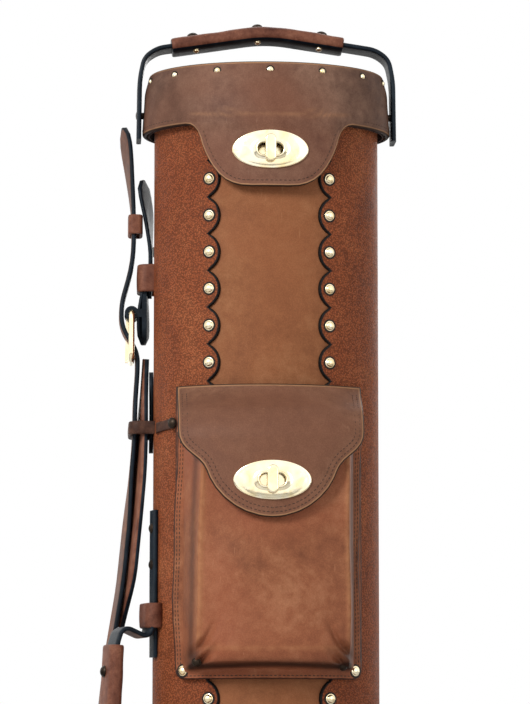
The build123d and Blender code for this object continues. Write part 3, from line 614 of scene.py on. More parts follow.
def ribbon(
    name, plane, points, radii, thickness, width, material, half_width=None, extra=None, outside=1,
    twist=None,
):
    """A flat strap with rounded edges. plane is (origin, along, up, across).

    half_width(s, total) gives its half width, and twist(s, total) its turn, at a length s along it.
    """
    origin, along, up, across = (Vector(v) for v in plane)
    run = path_points(points, radii)
    lengths = [0.0]
    for a, b in zip(run, run[1:]):
        lengths.append(lengths[-1] + (b - a).length)
    total = lengths[-1]
    section = []
    for k in range(20):
        turn = math.tau * (k + 0.5) / 20
        c, s = math.cos(turn), math.sin(turn)
        section.append((math.copysign(abs(c) ** 0.22, c), math.copysign(abs(s) ** 0.5, s)))
    vertices, edges, faces, slots = [], [], [], []
    for i, p in enumerate(run):
        a, b = run[max(0, i - 1)], run[min(len(run) - 1, i + 1)]
        d = (b - a).normalized()
        normal = Vector((-d.y, d.x)) * outside
        half = half_width(lengths[i], total) if half_width else width / 2
        for c, s in section:
            turned = twist(lengths[i], total) if twist else 0.0
            out = (along * normal.x + up * normal.y).normalized()
            face = out * math.cos(turned) + across * math.sin(turned)
            wide = across * math.cos(turned) - out * math.sin(turned)
            vertices.append(origin + along * p.x + up * p.y + face * (s * thickness / 2) + wide * (c * half))
            edges.append(max(0.0, half * (1 - abs(c))) + (0 if s > 0 else -9))
    sides = len(section)
    for i in range(len(run) - 1):
        for k in range(sides):
            m = (k + 1) % sides
            faces.append((i * sides + k, (i + 1) * sides + k, (i + 1) * sides + m, i * sides + m))
            slots.append(1 if extra and section[k][1] > 0 and section[m][1] > 0 else 0)
    for first in (0, (len(run) - 1) * sides):
        base = len(vertices)
        vertices += vertices[first : first + sides]
        edges += edges[first : first + sides]
        ring = tuple(range(base, base + sides))
        faces.append(ring if first == 0 else ring[::-1])
        slots.append(0)
    made = finish_mesh(
        name, vertices, faces, material, edge=edges, slots=slots, extra=(extra,) if extra else (),
    )
    return fix_normals(made)


def normals_inward(made):
    """True if a closed mesh has its faces turned inside out."""
    volume = 0.0
    for face in made.data.polygons:
        corners = [made.data.vertices[i].co for i in face.vertices]
        for a, b in zip(corners[1:], corners[2:]):
            volume += corners[0].dot(a.cross(b))
    return volume < 0


def fix_normals(made):
    """Turns a closed mesh's faces outwards."""
    if normals_inward(made):
        made.data.flip_normals()
    return made


# ---------------------------------------------------------------- leather on the tube
rivet_levels = [RIVET_TOP - RIVET_PITCH * k for k in range(int((RIVET_TOP - BOOT_TOP) / RIVET_PITCH) + 1)]
SCALLOP_LOW = rivet_levels[-1] - RIVET_PITCH / 2
SCALLOP_HIGH = rivet_levels[0] + RIVET_PITCH / 2
chord, bulge = RIVET_PITCH / 2, SCALLOP_CUSP - SCALLOP_PEAK
SCALLOP_R = (chord**2 + bulge**2) / (2 * bulge)


def scallop(z):
    """Half width of the wrap's front opening at a height."""
    if not SCALLOP_LOW < z < SCALLOP_HIGH:
        return SCALLOP_CUSP
    rise = (z - SCALLOP_LOW) % RIVET_PITCH - RIVET_PITCH / 2
    return SCALLOP_PEAK + SCALLOP_R - math.sqrt(SCALLOP_R**2 - rise**2)


def wrap_piece():
    """The pebbled wrap: from the right-hand scallops round the back to the left-hand ones."""
    levels = sorted(
        set(np.round(np.linspace(SCALLOP_LOW, SCALLOP_HIGH, len(rivet_levels) * 14 + 1), 4))
        | set(np.round(np.linspace(SOLE_T, SCALLOP_LOW, 6), 4))
        | {round(LEATHER_TOP - i, 4) for i in INSETS}
    )
    half_turn = lambda z: math.asin(scallop(z) / BODY_A)
    scale = BODY_A
    us = [spread(scale * half_turn(z), scale * (math.tau - half_turn(z)), 110) for z in levels]
    vs = [[z] * len(us[0]) for z in levels]
    piece = hide(
        "wrap_leather", us, vs, lambda u, v, h: around(u / scale, v, h - WRAP_T), WRAP_T, PEBBLED,
        round_mm=0.8,
    )
    return put(fix_normals(piece), "case", "pebbled_leather", "side_wrap")


wrap_piece()


def panel_piece():
    """The smooth front panel under the wrap's opening."""
    levels = spread(SOLE_T, LEATHER_TOP, 90)
    us, vs = row_grid(levels, lambda z: -56.0, lambda z: 56.0, 40)
    place = lambda u, v, h: front(u, v, h - WRAP_T - PANEL_T)
    return put(
        fix_normals(hide("front_panel_leather", us, vs, place, PANEL_T, PANEL)), "case", "smooth_leather",
        "front_panel",
    )


panel_piece()


def covered(level):
    """True where a pocket or the boot hides this rivet level."""
    clear = 4.3
    return level < BOOT_TOP + clear or any(
        foot - clear < level < top + clear for foot, top in POCKETS.values()
    )


open_levels = [level for level in rivet_levels if not covered(level)]
rivet_spots = [front_spot(x, level, 0) for level in open_levels for x in (-RIVET_X, RIVET_X)]
lathe(
    "scallop_rivet_heads", rivet_profile(3.1, 2.0), rivet_spots, RIVET, "case", "brass_rivet",
    "scallop_rivets",
)
shade_washers("scallop_rivet_shade_rings", rivet_spots, 3.2, "case")


# ---------------------------------------------------------------- foot
def ring_piece(name, low, high, inner, outer, material):
    """A leather band all the way round the oval."""
    levels = spread(low, high, 14)
    turns = np.linspace(0, math.tau, 161)[:-1]
    us = [list(turns) for _ in levels]
    vs = [[z] * len(turns) for z in levels]
    outline = [(-9.0, low), (20.0, low), (20.0, high), (-9.0, high)]
    place = lambda u, v, h: around(u, v, inner + h)
    return fix_normals(hide(name, us, vs, place, outer - inner, material, outline=outline, closed=True))


put(ring_piece("boot_leather", SOLE_T, BOOT_TOP, 0.0, BOOT_OUT, TRIM), "case", "trim_leather", "base_boot")


def tack_spots(offset, z, count=14):
    """Evenly turned spots round the oval."""
    spots = []
    for n in range(count):
        seat = around(math.tau * n / count, z, offset)
        spots.append((seat, normal_at(seat[0], seat[1], offset)))
    return spots


lathe(
    "boot_tack_heads", rivet_profile(1.9, 1.1), tack_spots(BOOT_OUT, SOLE_T + 5.2), RIVET, "case",
    "brass_rivet", "base_tacks",
)


def cap_tacks():
    """The ring of tacks near the cap's top."""
    z = CAP_PEAK - 5.4
    spots = tack_spots(cap_offset(z), z)
    lathe("cap_tack_heads", rivet_profile(1.7, 1.1), spots, RIVET, "cap", "brass_rivet", "cap_tacks")
    shade_washers("cap_tack_shade_rings", spots, 1.6, "cap")


def ring_path(offset, z, turns):
    """Points round the oval and their outward directions."""
    points = [around(t, z, offset) for t in turns]
    return points, [normal_at(p[0], p[1], offset) for p in points]


full_turn = np.linspace(0, math.tau, 241)
stitches("boot_stitches", *ring_path(BOOT_OUT - 0.05, BOOT_TOP - 4, full_turn), "case")


# ---------------------------------------------------------------- cap
TONGUE_FOOT = 785.5
TONGUE_SHAPE = [
    (50.0, 825.0), (47.6, 824.4), (45.6, 822.9), (44.0, 820.4), (42.7, 816.8), (41.4, 812.0),
    (39.6, 807.2), (37.4, 802.4), (34.6, 797.6), (31.2, 793.2), (27.2, 789.7), (22.6, 787.3),
    (17.4, 785.9), (11.0, TONGUE_FOOT), (0.0, TONGUE_FOOT),
]
SHAPE_X = [p[0] for p in reversed(TONGUE_SHAPE)]
SHAPE_Z = [p[1] for p in reversed(TONGUE_SHAPE)]
# The leather stands this much higher than the CAD cap, and the handle with it.
CAP_RISE = 2.6
CAP_PEAK = CAP_TOP + CAP_RISE
TONGUE_FOLD = ((0, -(BODY_B + CAP_OUT), 826), (0, -(BODY_B + CAP_OUT), 813))


def cap_offset(z):
    """The cap's wall flares a little at its rim and draws in at its top."""
    return CAP_OUT + 1.3 * smooth_step((CAP_RIM + 26 - z) / 26) - 3.2 * smooth_step(
        (z - CAP_TOP + 14 - CAP_RISE) / 17
    )


def cap_foot(x):
    """The lower edge of the cap's leather at a place x on its front."""
    return float(np.interp(abs(x), SHAPE_X, SHAPE_Z)) if abs(x) < 50 else CAP_RIM


def cap_piece():
    """The cap's wall with its tongue: one hide whose lower edge sweeps down in front."""
    scale = a = BODY_A + CAP_OUT
    front_x = np.concatenate([np.linspace(0, 26, 20)[:-1], np.linspace(26, 52, 60)])
    turns = [math.asin(x / a) for x in front_x]
    turns += list(np.linspace(turns[-1], math.pi, 60)[1:])
    turns = [-t for t in reversed(turns[1:-1])] + turns
    us, vs = [], []
    columns = []
    for t in turns:
        x = a * math.sin(t)
        foot = cap_foot(x) if abs(t) < math.pi / 2 else CAP_RIM
        columns.append(spread(foot, CAP_PEAK, 34))
    for r in range(len(columns[0])):
        us.append([scale * t for t in turns])
        vs.append([column[r] for column in columns])
    span = scale * math.pi * 2
    lower = [(scale * t, c[0]) for t, c in zip(turns, columns)]
    outline = [(-span, CAP_RIM)] + lower + [(span, CAP_RIM), (span, CAP_PEAK), (-span, CAP_PEAK)]

    def relief(u, v, edge):
        x = a * math.sin(u / scale)
        groove = -0.35 * bell(v - 826.5, 1.1) if abs(x) < 50 and abs(u / scale) < 1.5 else 0.0
        line = -0.22 * bell(edge - 3.0, 0.5) if v < 835 else 0.0
        return groove + line

    def worn(u, v, edge):
        x = a * math.sin(u / scale)
        in_front = 1.0 if abs(u / scale) < 1.2 else 0.0
        crease = in_front * smooth_step((52 - abs(x)) / 10) * bell(v - 828.6 - 0.0012 * x * x, 0.9)
        crease += 0.55 * in_front * smooth_step((38 - abs(x)) / 10) * bell(v - 832.6, 0.7)
        return min(1.0, 0.62 * crease)

    def shade_paint(u, v):
        """Painted shade: the cap's sides, where its wall turns away from the front, are darker, in cloudy
        patches.
        """
        x = abs(a * math.sin(u / scale))
        cloudy = 0.5 + 0.5 * math.sin(v / 7.0 + 2.2 * math.sin(u / 9.0)) * math.sin(u / 6.5 + 1.3)
        return 0.5 * smooth_step((x - 34) / 26) * (0.55 + 0.45 * cloudy)

    def place(u, v, h):
        flat = smooth_step((CAP_RIM + 2 - v) / 8)
        out = cap_offset(v) * (1 - flat) + CAP_OUT * flat
        return around(u / scale, v, out - CAP_WALL_T + h)

    piece = fix_normals(hide(
        "cap_leather", us, vs, place, CAP_WALL_T, TRIM, round_mm=1.3, relief=relief, outline=outline,
        closed=True, worn=worn, shade_paint=shade_paint, hole=lock_hole(CAP_LOCK_Z),
    ))
    return fold(piece, ("cap", "tongue"), "trim_leather", *TONGUE_FOLD, "cap_wall", "cap_tongue")


cap_piece()


def inset_path(outline, inset):
    """An outline moved inwards; the outline runs with its inside on the left."""
    moved = []
    for i, (x, z) in enumerate(outline):
        a, b = outline[max(0, i - 3)], outline[min(len(outline) - 1, i + 3)]
        dx, dz = b[0] - a[0], b[1] - a[1]
        length = math.hypot(dx, dz)
        moved.append((x - dz / length * inset, z + dx / length * inset))
    return moved


def finer(points, parts=6):
    """The same path with more points on it."""
    out = []
    for (x0, z0), (x1, z1) in zip(points, points[1:]):
        out += [(x0 + (x1 - x0) * k / parts, z0 + (z1 - z0) * k / parts) for k in range(parts)]
    return out + [points[-1]]


tongue_line = [(-x, z) for x, z in TONGUE_SHAPE] + [(x, z) for x, z in reversed(TONGUE_SHAPE[:-1])]
tongue_line = [(x, z) for x, z in inset_path(finer(tongue_line), 3.6) if z < 826]
tongue_points = [front(x, z, CAP_OUT - 0.1) for x, z in tongue_line]
tongue_normals = [normal_at(p[0], p[1], CAP_OUT) for p in tongue_points]
tongue_fold = (("cap", "tongue"), "trim_leather", *TONGUE_FOLD)
stitches(
    "tongue_stitches", tongue_points, tongue_normals, "tongue", pitch=2.8, length=1.9, radius=0.3,
    fold_args=tongue_fold,
)
rim_turns = np.linspace(0.86, math.tau - 0.86, 300)
rim_points = [around(t, CAP_RIM + 3.6, cap_offset(CAP_RIM + 3.6) - 0.1) for t in rim_turns]
stitches(
    "cap_rim_stitches", rim_points, [normal_at(p[0], p[1], CAP_OUT) for p in rim_points], "cap",
    pitch=2.8, length=1.9, radius=0.3
)


def lid_piece():
    """The leather top of the cap, a little crowned."""
    rings = [0.0, 0.2, 0.4, 0.6, 0.75, 0.86, 0.93, 0.97, 0.99, 1.0]
    turns = np.linspace(0, math.tau, 121)[:-1]
    shrink = cap_offset(CAP_PEAK) - CAP_WALL_T + 0.3
    a, b = BODY_A + shrink, BODY_B + shrink
    vertices, faces, edge = [], [], []
    for ring in rings[1:]:
        for t in turns:
            z = CAP_PEAK - 0.6 + 1.0 * (1 - ring**2) - (0.8 if ring == 1.0 else 0.0)
            vertices.append((a * ring * math.sin(t), -b * ring * math.cos(t), z))
            edge.append((1 - ring) * a)
    n = len(turns)
    centre = len(vertices)
    vertices.append((0, 0, CAP_PEAK + 0.4))
    edge.append(a)
    for k in range(len(rings) - 2):
        for c in range(n):
            d = (c + 1) % n
            faces.append((k * n + c, k * n + d, (k + 1) * n + d, (k + 1) * n + c))
    for c in range(n):
        faces.append((centre, (c + 1) % n, c))
    last = (len(rings) - 2) * n
    floor = len(vertices)
    for t in turns:
        vertices.append((a * math.sin(t), -b * math.cos(t), CAP_TOP - 2.4))
        edge.append(0)
    for c in range(n):
        d = (c + 1) % n
        faces.append((last + c, last + d, floor + d, floor + c))
    faces.append(tuple(floor + c for c in range(n)))
    return put(
        fix_normals(finish_mesh("cap_lid_leather", vertices, faces, TRIM, edge=edge)), "cap",
        "trim_leather", "cap_top",
    )


lid_piece()
cap_tacks()


def hinge_piece():
    """The leather hinge at the back, from the wrap up inside the cap's rim."""
    low, high, half = 780.0, CAP_RIM + 6, 32.0
    width = lambda z: corner_width(half, z - low, HINGE_CORNER)
    levels = spread(low, high, 22)
    us, vs = row_grid(levels, lambda z: -width(z), width, 26)

    def place(u, v, h):
        x, y, z = front(u, v, h)
        return (x, -y, z)

    piece = fix_normals(hide("cap_hinge_hide", us, vs, place, 2.3, TRIM, round_mm=0.8))
    back = BODY_B + 3.2
    return fold(
        piece, ("case", "cap"), "trim_leather", (0, back, CAP_RIM - 6), (0, back, CAP_RIM + 4),
        "cap_hinge_leather",
    )


hinge_piece()


# ---------------------------------------------------------------- locks
def slot_point(turn, half_w, half_h):
    """A point on a round-ended slot, seen from its middle."""
    flat = half_w - half_h
    c, s = math.cos(turn), math.sin(turn)
    if abs(c) < 1e-9 or abs(s / c) * flat > half_h:
        k = half_h / abs(s)
        return (k * c, k * s)
    side = math.copysign(flat, c)
    b = c * side
    reach = b + math.sqrt(max(0.0, b * b - flat * flat + half_h * half_h))
    return (reach * c, reach * s)


def plate_piece(name, z, offset, body, node):
    """An oval lock plate: a crowned brass face, a rolled rim and a raised ring round its opening."""
    sides, w, h, t = 96, 23.3, 11.9, 1.8
    steps = [(0.0, 0.0), (0.0, 2.3), (0.25, 2.75), (0.75, 2.95), (1.25, 2.75), (1.5, 2.2), (1.6, 1.72)]
    tail = [
        (0.25, 1.78), (0.5, 1.7), (0.72, 1.5), (0.84, 1.3), (0.9, 1.32), (0.94, 1.25), (0.975, 0.95),
        (1.0, 0.45), (1.0, 0.0),
    ]
    vertices, faces = [], []
    for k in range(sides):
        turn = math.tau * k / sides
        sx, sz = slot_point(turn, 7.7, 3.8)
        reach = w * h / math.sqrt((h * math.cos(turn)) ** 2 + (w * math.sin(turn)) ** 2)
        ex, ez = reach * math.cos(turn), reach * math.sin(turn)
        gap = math.hypot(ex - sx, ez - sz)
        for out, height in steps:
            f = out / gap
            vertices.append(front(sx + (ex - sx) * f, z + sz + (ez - sz) * f, offset + height))
        f0 = 1.6 / gap
        for share, height in tail:
            f = f0 + (1 - f0) * share
            vertices.append(front(sx + (ex - sx) * f, z + sz + (ez - sz) * f, offset + height))
    ring = len(steps) + len(tail)
    for k in range(sides):
        m = (k + 1) % sides
        for j in range(ring):
            n = (j + 1) % ring
            faces.append((k * ring + j, m * ring + j, m * ring + n, k * ring + n))
    piece = fix_normals(finish_mesh(name, vertices, faces, BRASS))
    return put(piece, body, "polished_brass", node)


plate_piece("tongue_lock_plate", CAP_LOCK_Z, CAP_OUT, "tongue", "tongue_plate")


# ---------------------------------------------------------------- pockets
def pocket_back_piece(name, foot, top):
    """The sewn leather back of a pocket."""
    levels = spread(foot, top, 40)
    width = lambda z: corner_width(POCKET_FLANGE, z - foot, POCKET_CORNER)
    us, vs = row_grid(levels, lambda z: -width(z), width, 24)
    piece = hide(f"{name}_pocket_back_leather", us, vs, front, POCKET_T, POUCH)
    return put(fix_normals(piece), "case", "smooth_leather", f"{name}_pocket_back")


def bag_piece(name, foot, top):
    """The pouch: a soft box of leather on a sewn margin, with worn ridges and folded lower corners."""
    mouth, box_foot = top - MOUTH_DROP, foot + 5.5
    rough = random.Random(3 if name == "upper" else 11)
    phase = [rough.uniform(0, 6.28) for _ in range(6)]
    full = POCKET_OUT - 2 * POCKET_T - 1.0

    def width(z, side=1):
        """Half width of the margin, whose cut edge wanders a little."""
        d = z - foot
        wander = 0.7 * math.sin(d / 31 + phase[0] + side) + 0.35 * math.sin(d / 9 + phase[1] * side)
        wander += (1.6 if side < 0 else -0.6) * math.sin(math.pi * min(1.0, d / (mouth - foot)))
        half = POCKET_FLANGE - 0.4 + wander * smooth_step(d / 12)
        return corner_width(half, d, POCKET_CORNER)

    def ridge(v, side):
        """Where the pouch's front edge runs on each side."""
        t = (v - foot) / (mouth - foot)
        if side < 0:
            return 44.8 - 3.4 * smooth_step(t) + 0.5 * math.sin(v / 19 + phase[2])
        return 46.9 - 0.6 * t + 0.4 * math.sin(v / 15 + phase[3])

    def lift(u, v):
        """Height of the pouch's face over the back, from its margin."""
        side = -1 if u < 0 else 1
        at = ridge(v, side)
        foot_u = 51.4 if side < 0 else 50.6
        x = clamp((foot_u - abs(u)) / (foot_u - at))
        sag = 1.3 * math.cos(u / 30) + 0.5 * math.sin(u / 11 + phase[4])
        y = clamp((v - box_foot + 1.0 - sag) / 13.5)
        wall_x = x**0.8 * (1 - 0.12 * math.sin(math.pi * x))
        wall_y = 0.0 if y <= 0 else (
            0.10 + 0.62 * smooth_step(y / 0.3) + 0.28 * math.sin(min(1.0, y) * math.pi / 2)
        ) * smooth_step(y / 0.1)
        level = min(wall_x, 1.0) * min(wall_y, 1.0)
        inside = clamp((at - abs(u)) / 12)
        upward = clamp((v - foot - 17) / 22)
        risen = smooth_step(upward)
        hollow = -1.6 * math.sin(inside * math.pi / 2) * risen + 1.2 * math.cos(u / 40) * risen
        corner_near = math.hypot((abs(u) - 43) / 7.5, (v - foot - 13) / 7.0)
        pinch = 7.5 * math.exp(-(corner_near**2)) * (1 + 0.5 * math.sin((abs(u) + v) / 1.9))
        fold_line = 2.2 * bell(abs(u) - 40 + (v - foot - 20) * 0.5, 2.2) * bell(v - foot - 24, 9)
        soft = 0.45 * math.sin(v / 23 + phase[5] + u / 31) + 0.25 * math.sin(v / 8.5 + phase[1] - u / 14)
        bead = 0.5 * bell(abs(u) - at + 1.2, 1.5)
        return max(0.0, level * (full + hollow - pinch - fold_line + soft * 0.8 + bead))

    def rubbed(u, v):
        """Wear on the pouch's front edges."""
        side = -1 if u < 0 else 1
        along = bell(
            abs(u) - ridge(v, side) + 0.9, 2.1 if side < 0 else 1.7,
        ) * smooth_step((v - foot - 14) / 14)
        low = 0.5 * bell(v - foot - 17.5, 1.6) * smooth_step((44 - abs(u)) / 8)
        return min(1.0, 0.5 * along + 0.5 * low)

    def shading(u, v):
        """Painted shade in the pouch's folds: under its belly, at its lower corners and along its gussets."""
        rise = v - foot - 6.9 - 1.0 * math.cos(u / 26)
        belly = 0.95 * bell(rise, 2.5 if rise > 0 else 1.5) * smooth_step((51.5 - abs(u)) / 5)
        corner_fold = 0.8 * math.exp(-(((abs(u) - 46) / 5.0) ** 2) - ((v - foot - 12.5) / 5.5) ** 2)
        side = -1 if u < 0 else 1
        gusset = (0.5 if side < 0 else 0.7) * bell(
            abs(u) - ridge(v, side) - (3.2 if side < 0 else 2.6), 1.7,
        ) * smooth_step((v - foot - 10) / 12)
        return min(0.96, belly + corner_fold + gusset)

    levels = [foot + i for i in (0.0, 0.15, 0.4, 0.8, 1.4, 2.4, 3.8, 5.4)]
    levels += list(np.linspace(foot + 6.0, foot + 32, 64)) + list(np.linspace(foot + 32, mouth, 56)[1:])
    us, vs = [], []
    for z in levels:
        row = []
        for side in (-1, 1):
            w = width(z, side)
            half = list(np.linspace(0, 32, 18)) + list(np.linspace(32, 51.6, 58)[1:]) + [
                52.4, 53.2, w - 1.3, w - 0.8, w - 0.4, w - 0.15, w,
            ]
            half = [min(x, w - 0.02 * (len(half) - 1 - i)) for i, x in enumerate(half)]
            row.append(half)
        us.append([-x for x in reversed(row[0][1:])] + row[1])
        vs.append([z] * len(us[-1]))
    us, vs = np.array(us), np.array(vs)
    rows, cols = us.shape
    flat = np.stack([us.ravel(), vs.ravel()], 1)
    outline = [(us[r, 0], vs[r, 0]) for r in range(rows)] + [
        (-POCKET_FLANGE, mouth + 40), (POCKET_FLANGE, mouth + 40),
    ]
    outline += [(us[r, -1], vs[r, -1]) for r in range(rows - 1, -1, -1)]
    edge = outline_distance(flat, outline)
    outer, inner, worn, shade_values = [], [], [], []
    for (u, v), e in zip(flat, edge):
        up = lift(u, v)
        near = min(e, 0.9)
        drop = 0.9 - math.sqrt(0.81 - (0.9 - near) ** 2)
        outer.append(front(u, v, POCKET_T * 2 - drop + up))
        thin = 1.6 if up > 2 else POCKET_T - 0.05
        squeeze = 1 - 1.4 / POCKET_HALF if up > 2 else 1.0
        inner.append(front(u * squeeze, v, POCKET_T * 2 + up - thin))
        worn.append(rubbed(u, v))
        shade_values.append(shading(u, v))
    faces = skin_faces(rows, cols)
    piece = finish_mesh(
        f"{name}_pouch_leather", outer + inner, faces, POUCH, edge=np.concatenate([edge, edge]),
        worn=worn + worn, shade_paint=shade_values + shade_values,
    )
    put(fix_normals(piece), "case", "smooth_leather", f"{name}_pocket_bag")

    for label, inset in (("outer", 1.7), ("inner", 3.3)):
        path = [(-width(z, -1) + inset, z) for z in np.linspace(mouth, foot + 9, 60)]
        if label == "outer":
            path += [(x, foot + 1.9) for x in np.linspace(-POCKET_FLANGE + 7, POCKET_FLANGE - 7, 60)]
        path += [(width(z) - inset, z) for z in np.linspace(foot + 9, mouth, 60)]
        points = [front(x, z, POCKET_T * 2 - 0.05) for x, z in path]
        normals = [normal_at(p[0], p[1], POCKET_T * 2) for p in points]
        cuts = [(0, len(points))] if label == "outer" else [(0, 60), (60, 120)]
        for number, (first, last) in enumerate(cuts):
            part, ways = points[first:last], normals[first:last]
            stitches(
                f"{name}_pocket_{label}_stitches_{number}", part, ways, "case", "smooth_leather",
                pitch=2.6, length=1.8, radius=0.36,
            )
    spots = [front_spot(x, foot + 5, POCKET_T * 2) for x in (-51.6, 51.6)]
    lathe(
        f"{name}_pocket_rivet_heads", rivet_profile(3.1, 2.0), spots, RIVET, "case", "brass_rivet",
        f"{name}_pocket_rivets",
    )
    shade_washers(f"{name}_pocket_rivet_shade_rings", spots, 3.3, "case")
    inner_spots = []
    for x, z in ((-44.0, foot + 9.5), (43.5, foot + 7.5)):
        seat = front(x, z, POCKET_T * 2 + max(0.0, lift(x, z)) - 0.5)
        inner_spots.append((seat, normal_at(seat[0], seat[1], 0) + Vector((0, -0.2, -0.5))))
    lathe(f"{name}_pocket_inner_rivets", rivet_profile(2.9, 1.8), inner_spots, AGED, "case", "brass_rivet")


FLAP_SHAPE = [
    (0.0, -82.0), (8.0, -81.2), (15.5, -78.9), (22.4, -75.2), (28.6, -70.2), (33.6, -64.4), (37.0, -58.6),
    (38.8, -54.0), (40.6, -50.6), (43.4, -47.4), (47.2, -44.2), (50.8, -41.0), (53.6, -37.4),
    (55.2, -33.2), (55.5, -29.0), (55.5, 0.0),
]


def flap_piece(name, top):
    """The flap with its sewn strip, from the case out over the pouch and down to its round tip."""
    xs, zs = [p[0] for p in FLAP_SHAPE], [p[1] for p in FLAP_SHAPE]
    levels = [
        top - 82 + i for i in (0.0, 0.05, 0.15, 0.3, 0.5, 0.8, 1.2, 1.7, 2.4, 3.2, 4.2)
    ] + list(np.linspace(top - 76.5, top - 4, 66))
    levels += [top - i for i in (2.2, 1.3, 0.8, 0.4, 0.15, 0.0)]

    def width(z):
        """Half width of the flap: round at its tip."""
        rise = z - top + 82
        outline = float(np.interp(z - top, zs, xs))
        return max(0.6, outline if rise > 0.8 else math.sqrt(max(0.0, 80.0 * rise)))

    us, vs = row_grid(levels, lambda z: -width(z), width, 34)

    def base(v):
        """Offset of the flap's underside at a height."""
        drop = top - v
        t = clamp((drop - 2.0) / 34.0)
        return POCKET_T + 0.05 + (FLAP_IN - POCKET_T) * (1 - (1 - t) ** 1.9) * (
            0.55 + 0.45 * smooth_step(t * 2.2)
        )

    def place(u, v, h):
        sag = 0.35 * math.sin(v / 11.0 + u / 17.0)
        return front(u, v, base(v) + h + (sag if top - v > 30 else 0) * 0.5)

    groove = lambda u, v, edge: -0.2 * bell(edge - 2.9, 0.5) - 0.2 * bell(edge - 5.6, 0.5)
    piece = fix_normals(hide(
        f"{name}_flap_leather", us, vs, place, FLAP_T, FLAP, round_mm=1.1, relief=groove,
        hole=lock_hole(top - FLAP_LOCK_DROP),
    ))
    fold_y, body = -(BODY_B + 4.5), f"{name}_flap"
    hinge = ((0, fold_y, top - 4), (0, fold_y, top - 16))
    fold(piece, ("case", body), "trim_leather", *hinge, f"{name}_flap", f"{name}_flap_seam")
    edge_path = finer([(-x, z) for x, z in reversed(list(zip(xs, zs)))] + list(zip(xs, zs))[1:])
    for number, inset in enumerate((2.9, 5.6)):
        line = [(x, z) for x, z in inset_path(edge_path, inset) if z < -2.5]
        points = [place(x, z + top, FLAP_T - 0.2) for x, z in line]
        normals = [normal_at(q[0], q[1], base(q[2])) for q in points]
        folded = (("case", body), "trim_leather", *hinge)
        stitches(
            f"{name}_flap_stitches_{number}", points, normals, body, pitch=2.6, length=1.8, radius=0.36,
            fold_args=folded,
        )
    plate_piece(f"{name}_flap_lock_plate", top - FLAP_LOCK_DROP, FLAP_IN + FLAP_T, body, f"{name}_flap_plate")


for pocket, (foot, top) in POCKETS.items():
    pocket_back_piece(pocket, foot, top)
    bag_piece(pocket, foot, top)
    flap_piece(pocket, top)

# ---------------------------------------------------------------- top handle
XZ = ((0, 0, 0), (1, 0, 0), (0, 0, 1), (0, 1, 0))
STRAP_SIDE = BODY_A + CAP_OUT + 0.4 + STRAP_T / 2
ARCH_BEND, ARCH_END, ARCH_TOP, ARCH_R = 868.0, 879.6 + CAP_RISE, 887.0 + CAP_RISE, 90.0
arch = [
    (-STRAP_SIDE - 1.6, CAP_RIM - 3), (-STRAP_SIDE - 1.2, ARCH_BEND - 8), (-STRAP_SIDE + 1.6, 873.4),
    (-67.5, 879.2), (-SLEEVE_HALF - 4, ARCH_END - 1.2), (0, ARCH_TOP),
]
arch += [(-x, z) for x, z in reversed(arch[:-1])]
arch_slope = (ARCH_TOP - ARCH_END + 1.2) / (SLEEVE_HALF + 4)
piece = ribbon("top_handle_strap_leather", XZ, arch, bend_radii(arch, ARCH_R), STRAP_T, STRAP_W, STRAP)
put(piece, "top_handle", "dark_leather", "top_handle_strap")


def grip_piece(name, plane, points, radius, body, node, under=False):
    """A leather grip sewn round a strap: a flattened tube with a bulging middle and open ends."""
    origin, along, up, across = (Vector(v) for v in plane)
    run = path_points(points, [radius])
    total = sum((b - a).length for a, b in zip(run, run[1:]))
    vertices, faces, edge = [], [], []
    walked, sides = 0.0, 40
    positions = []
    for i, p in enumerate(run):
        if i:
            walked += (p - run[i - 1]).length
        positions.append((p, walked))
    fine = []
    for s in sorted(set(
        [0.0, 0.4, 1.0, 2.0] + list(np.linspace(3, total - 3, 40))
        + [total - 2, total - 1, total - 0.4, total]
    )):
        for (p, a), (q, b) in zip(positions, positions[1:]):
            if a <= s <= b + 1e-6:
                fine.append((p + (q - p) * ((s - a) / max(b - a, 1e-9)), (q - p).normalized(), s))
                break
    for p, d, s in fine:
        normal = Vector((-d.y, d.x))
        ends = min(s, total - s)
        round_in = 1.0 - 0.1 * math.exp(-ends / 0.5)
        swell = 1.0 + 0.05 * math.sin(math.pi * s / total) + 0.03 * math.sin(s / 6.1) + 0.02 * math.sin(s / 2.7)
        for k in range(sides):
            turn = math.tau * k / sides
            c, t = math.cos(turn), math.sin(turn)
            c, t = math.copysign(abs(c) ** 0.55, c), math.copysign(abs(t) ** 0.75, t)
            half_t = SLEEVE_T / 2 * round_in * (swell if t > 0 else 1.0) * (1.0 if t > 0 else 0.92)
            flat = p + normal * (t * half_t)
            vertices.append(origin + along * flat.x + up * flat.y + across * (c * SLEEVE_W / 2 * round_in))
            edge.append(ends)
    rings = len(fine)
    slots = []
    for i in range(rings - 1):
        for k in range(sides):
            m = (k + 1) % sides
            faces.append((i * sides + k, (i + 1) * sides + k, (i + 1) * sides + m, i * sides + m))
            slots.append(1 if under and 23 <= k <= 36 else 0)
    faces.append(tuple(range(sides)))
    faces.append(tuple((rings - 1) * sides + k for k in range(sides - 1, -1, -1)))
    slots += [1, 1]
    piece = fix_normals(finish_mesh(name, vertices, faces, GRIP, edge=edge, slots=slots, extra=(STRAP,)))
    return put(piece, body, "handle_leather", node)


sleeve_z = ARCH_TOP - arch_slope * SLEEVE_HALF
# The grip has slipped this far along its strap.
SHIFT = -5.5
grip_path = [
    (-SLEEVE_HALF - 1 + SHIFT, sleeve_z + SHIFT * arch_slope), (0, ARCH_TOP),
    (SLEEVE_HALF + 1 + SHIFT, sleeve_z - SHIFT * arch_slope),
]
grip_piece("top_handle_grip", XZ, grip_path, ARCH_R, "top_handle", "top_handle_sleeve", under=True)


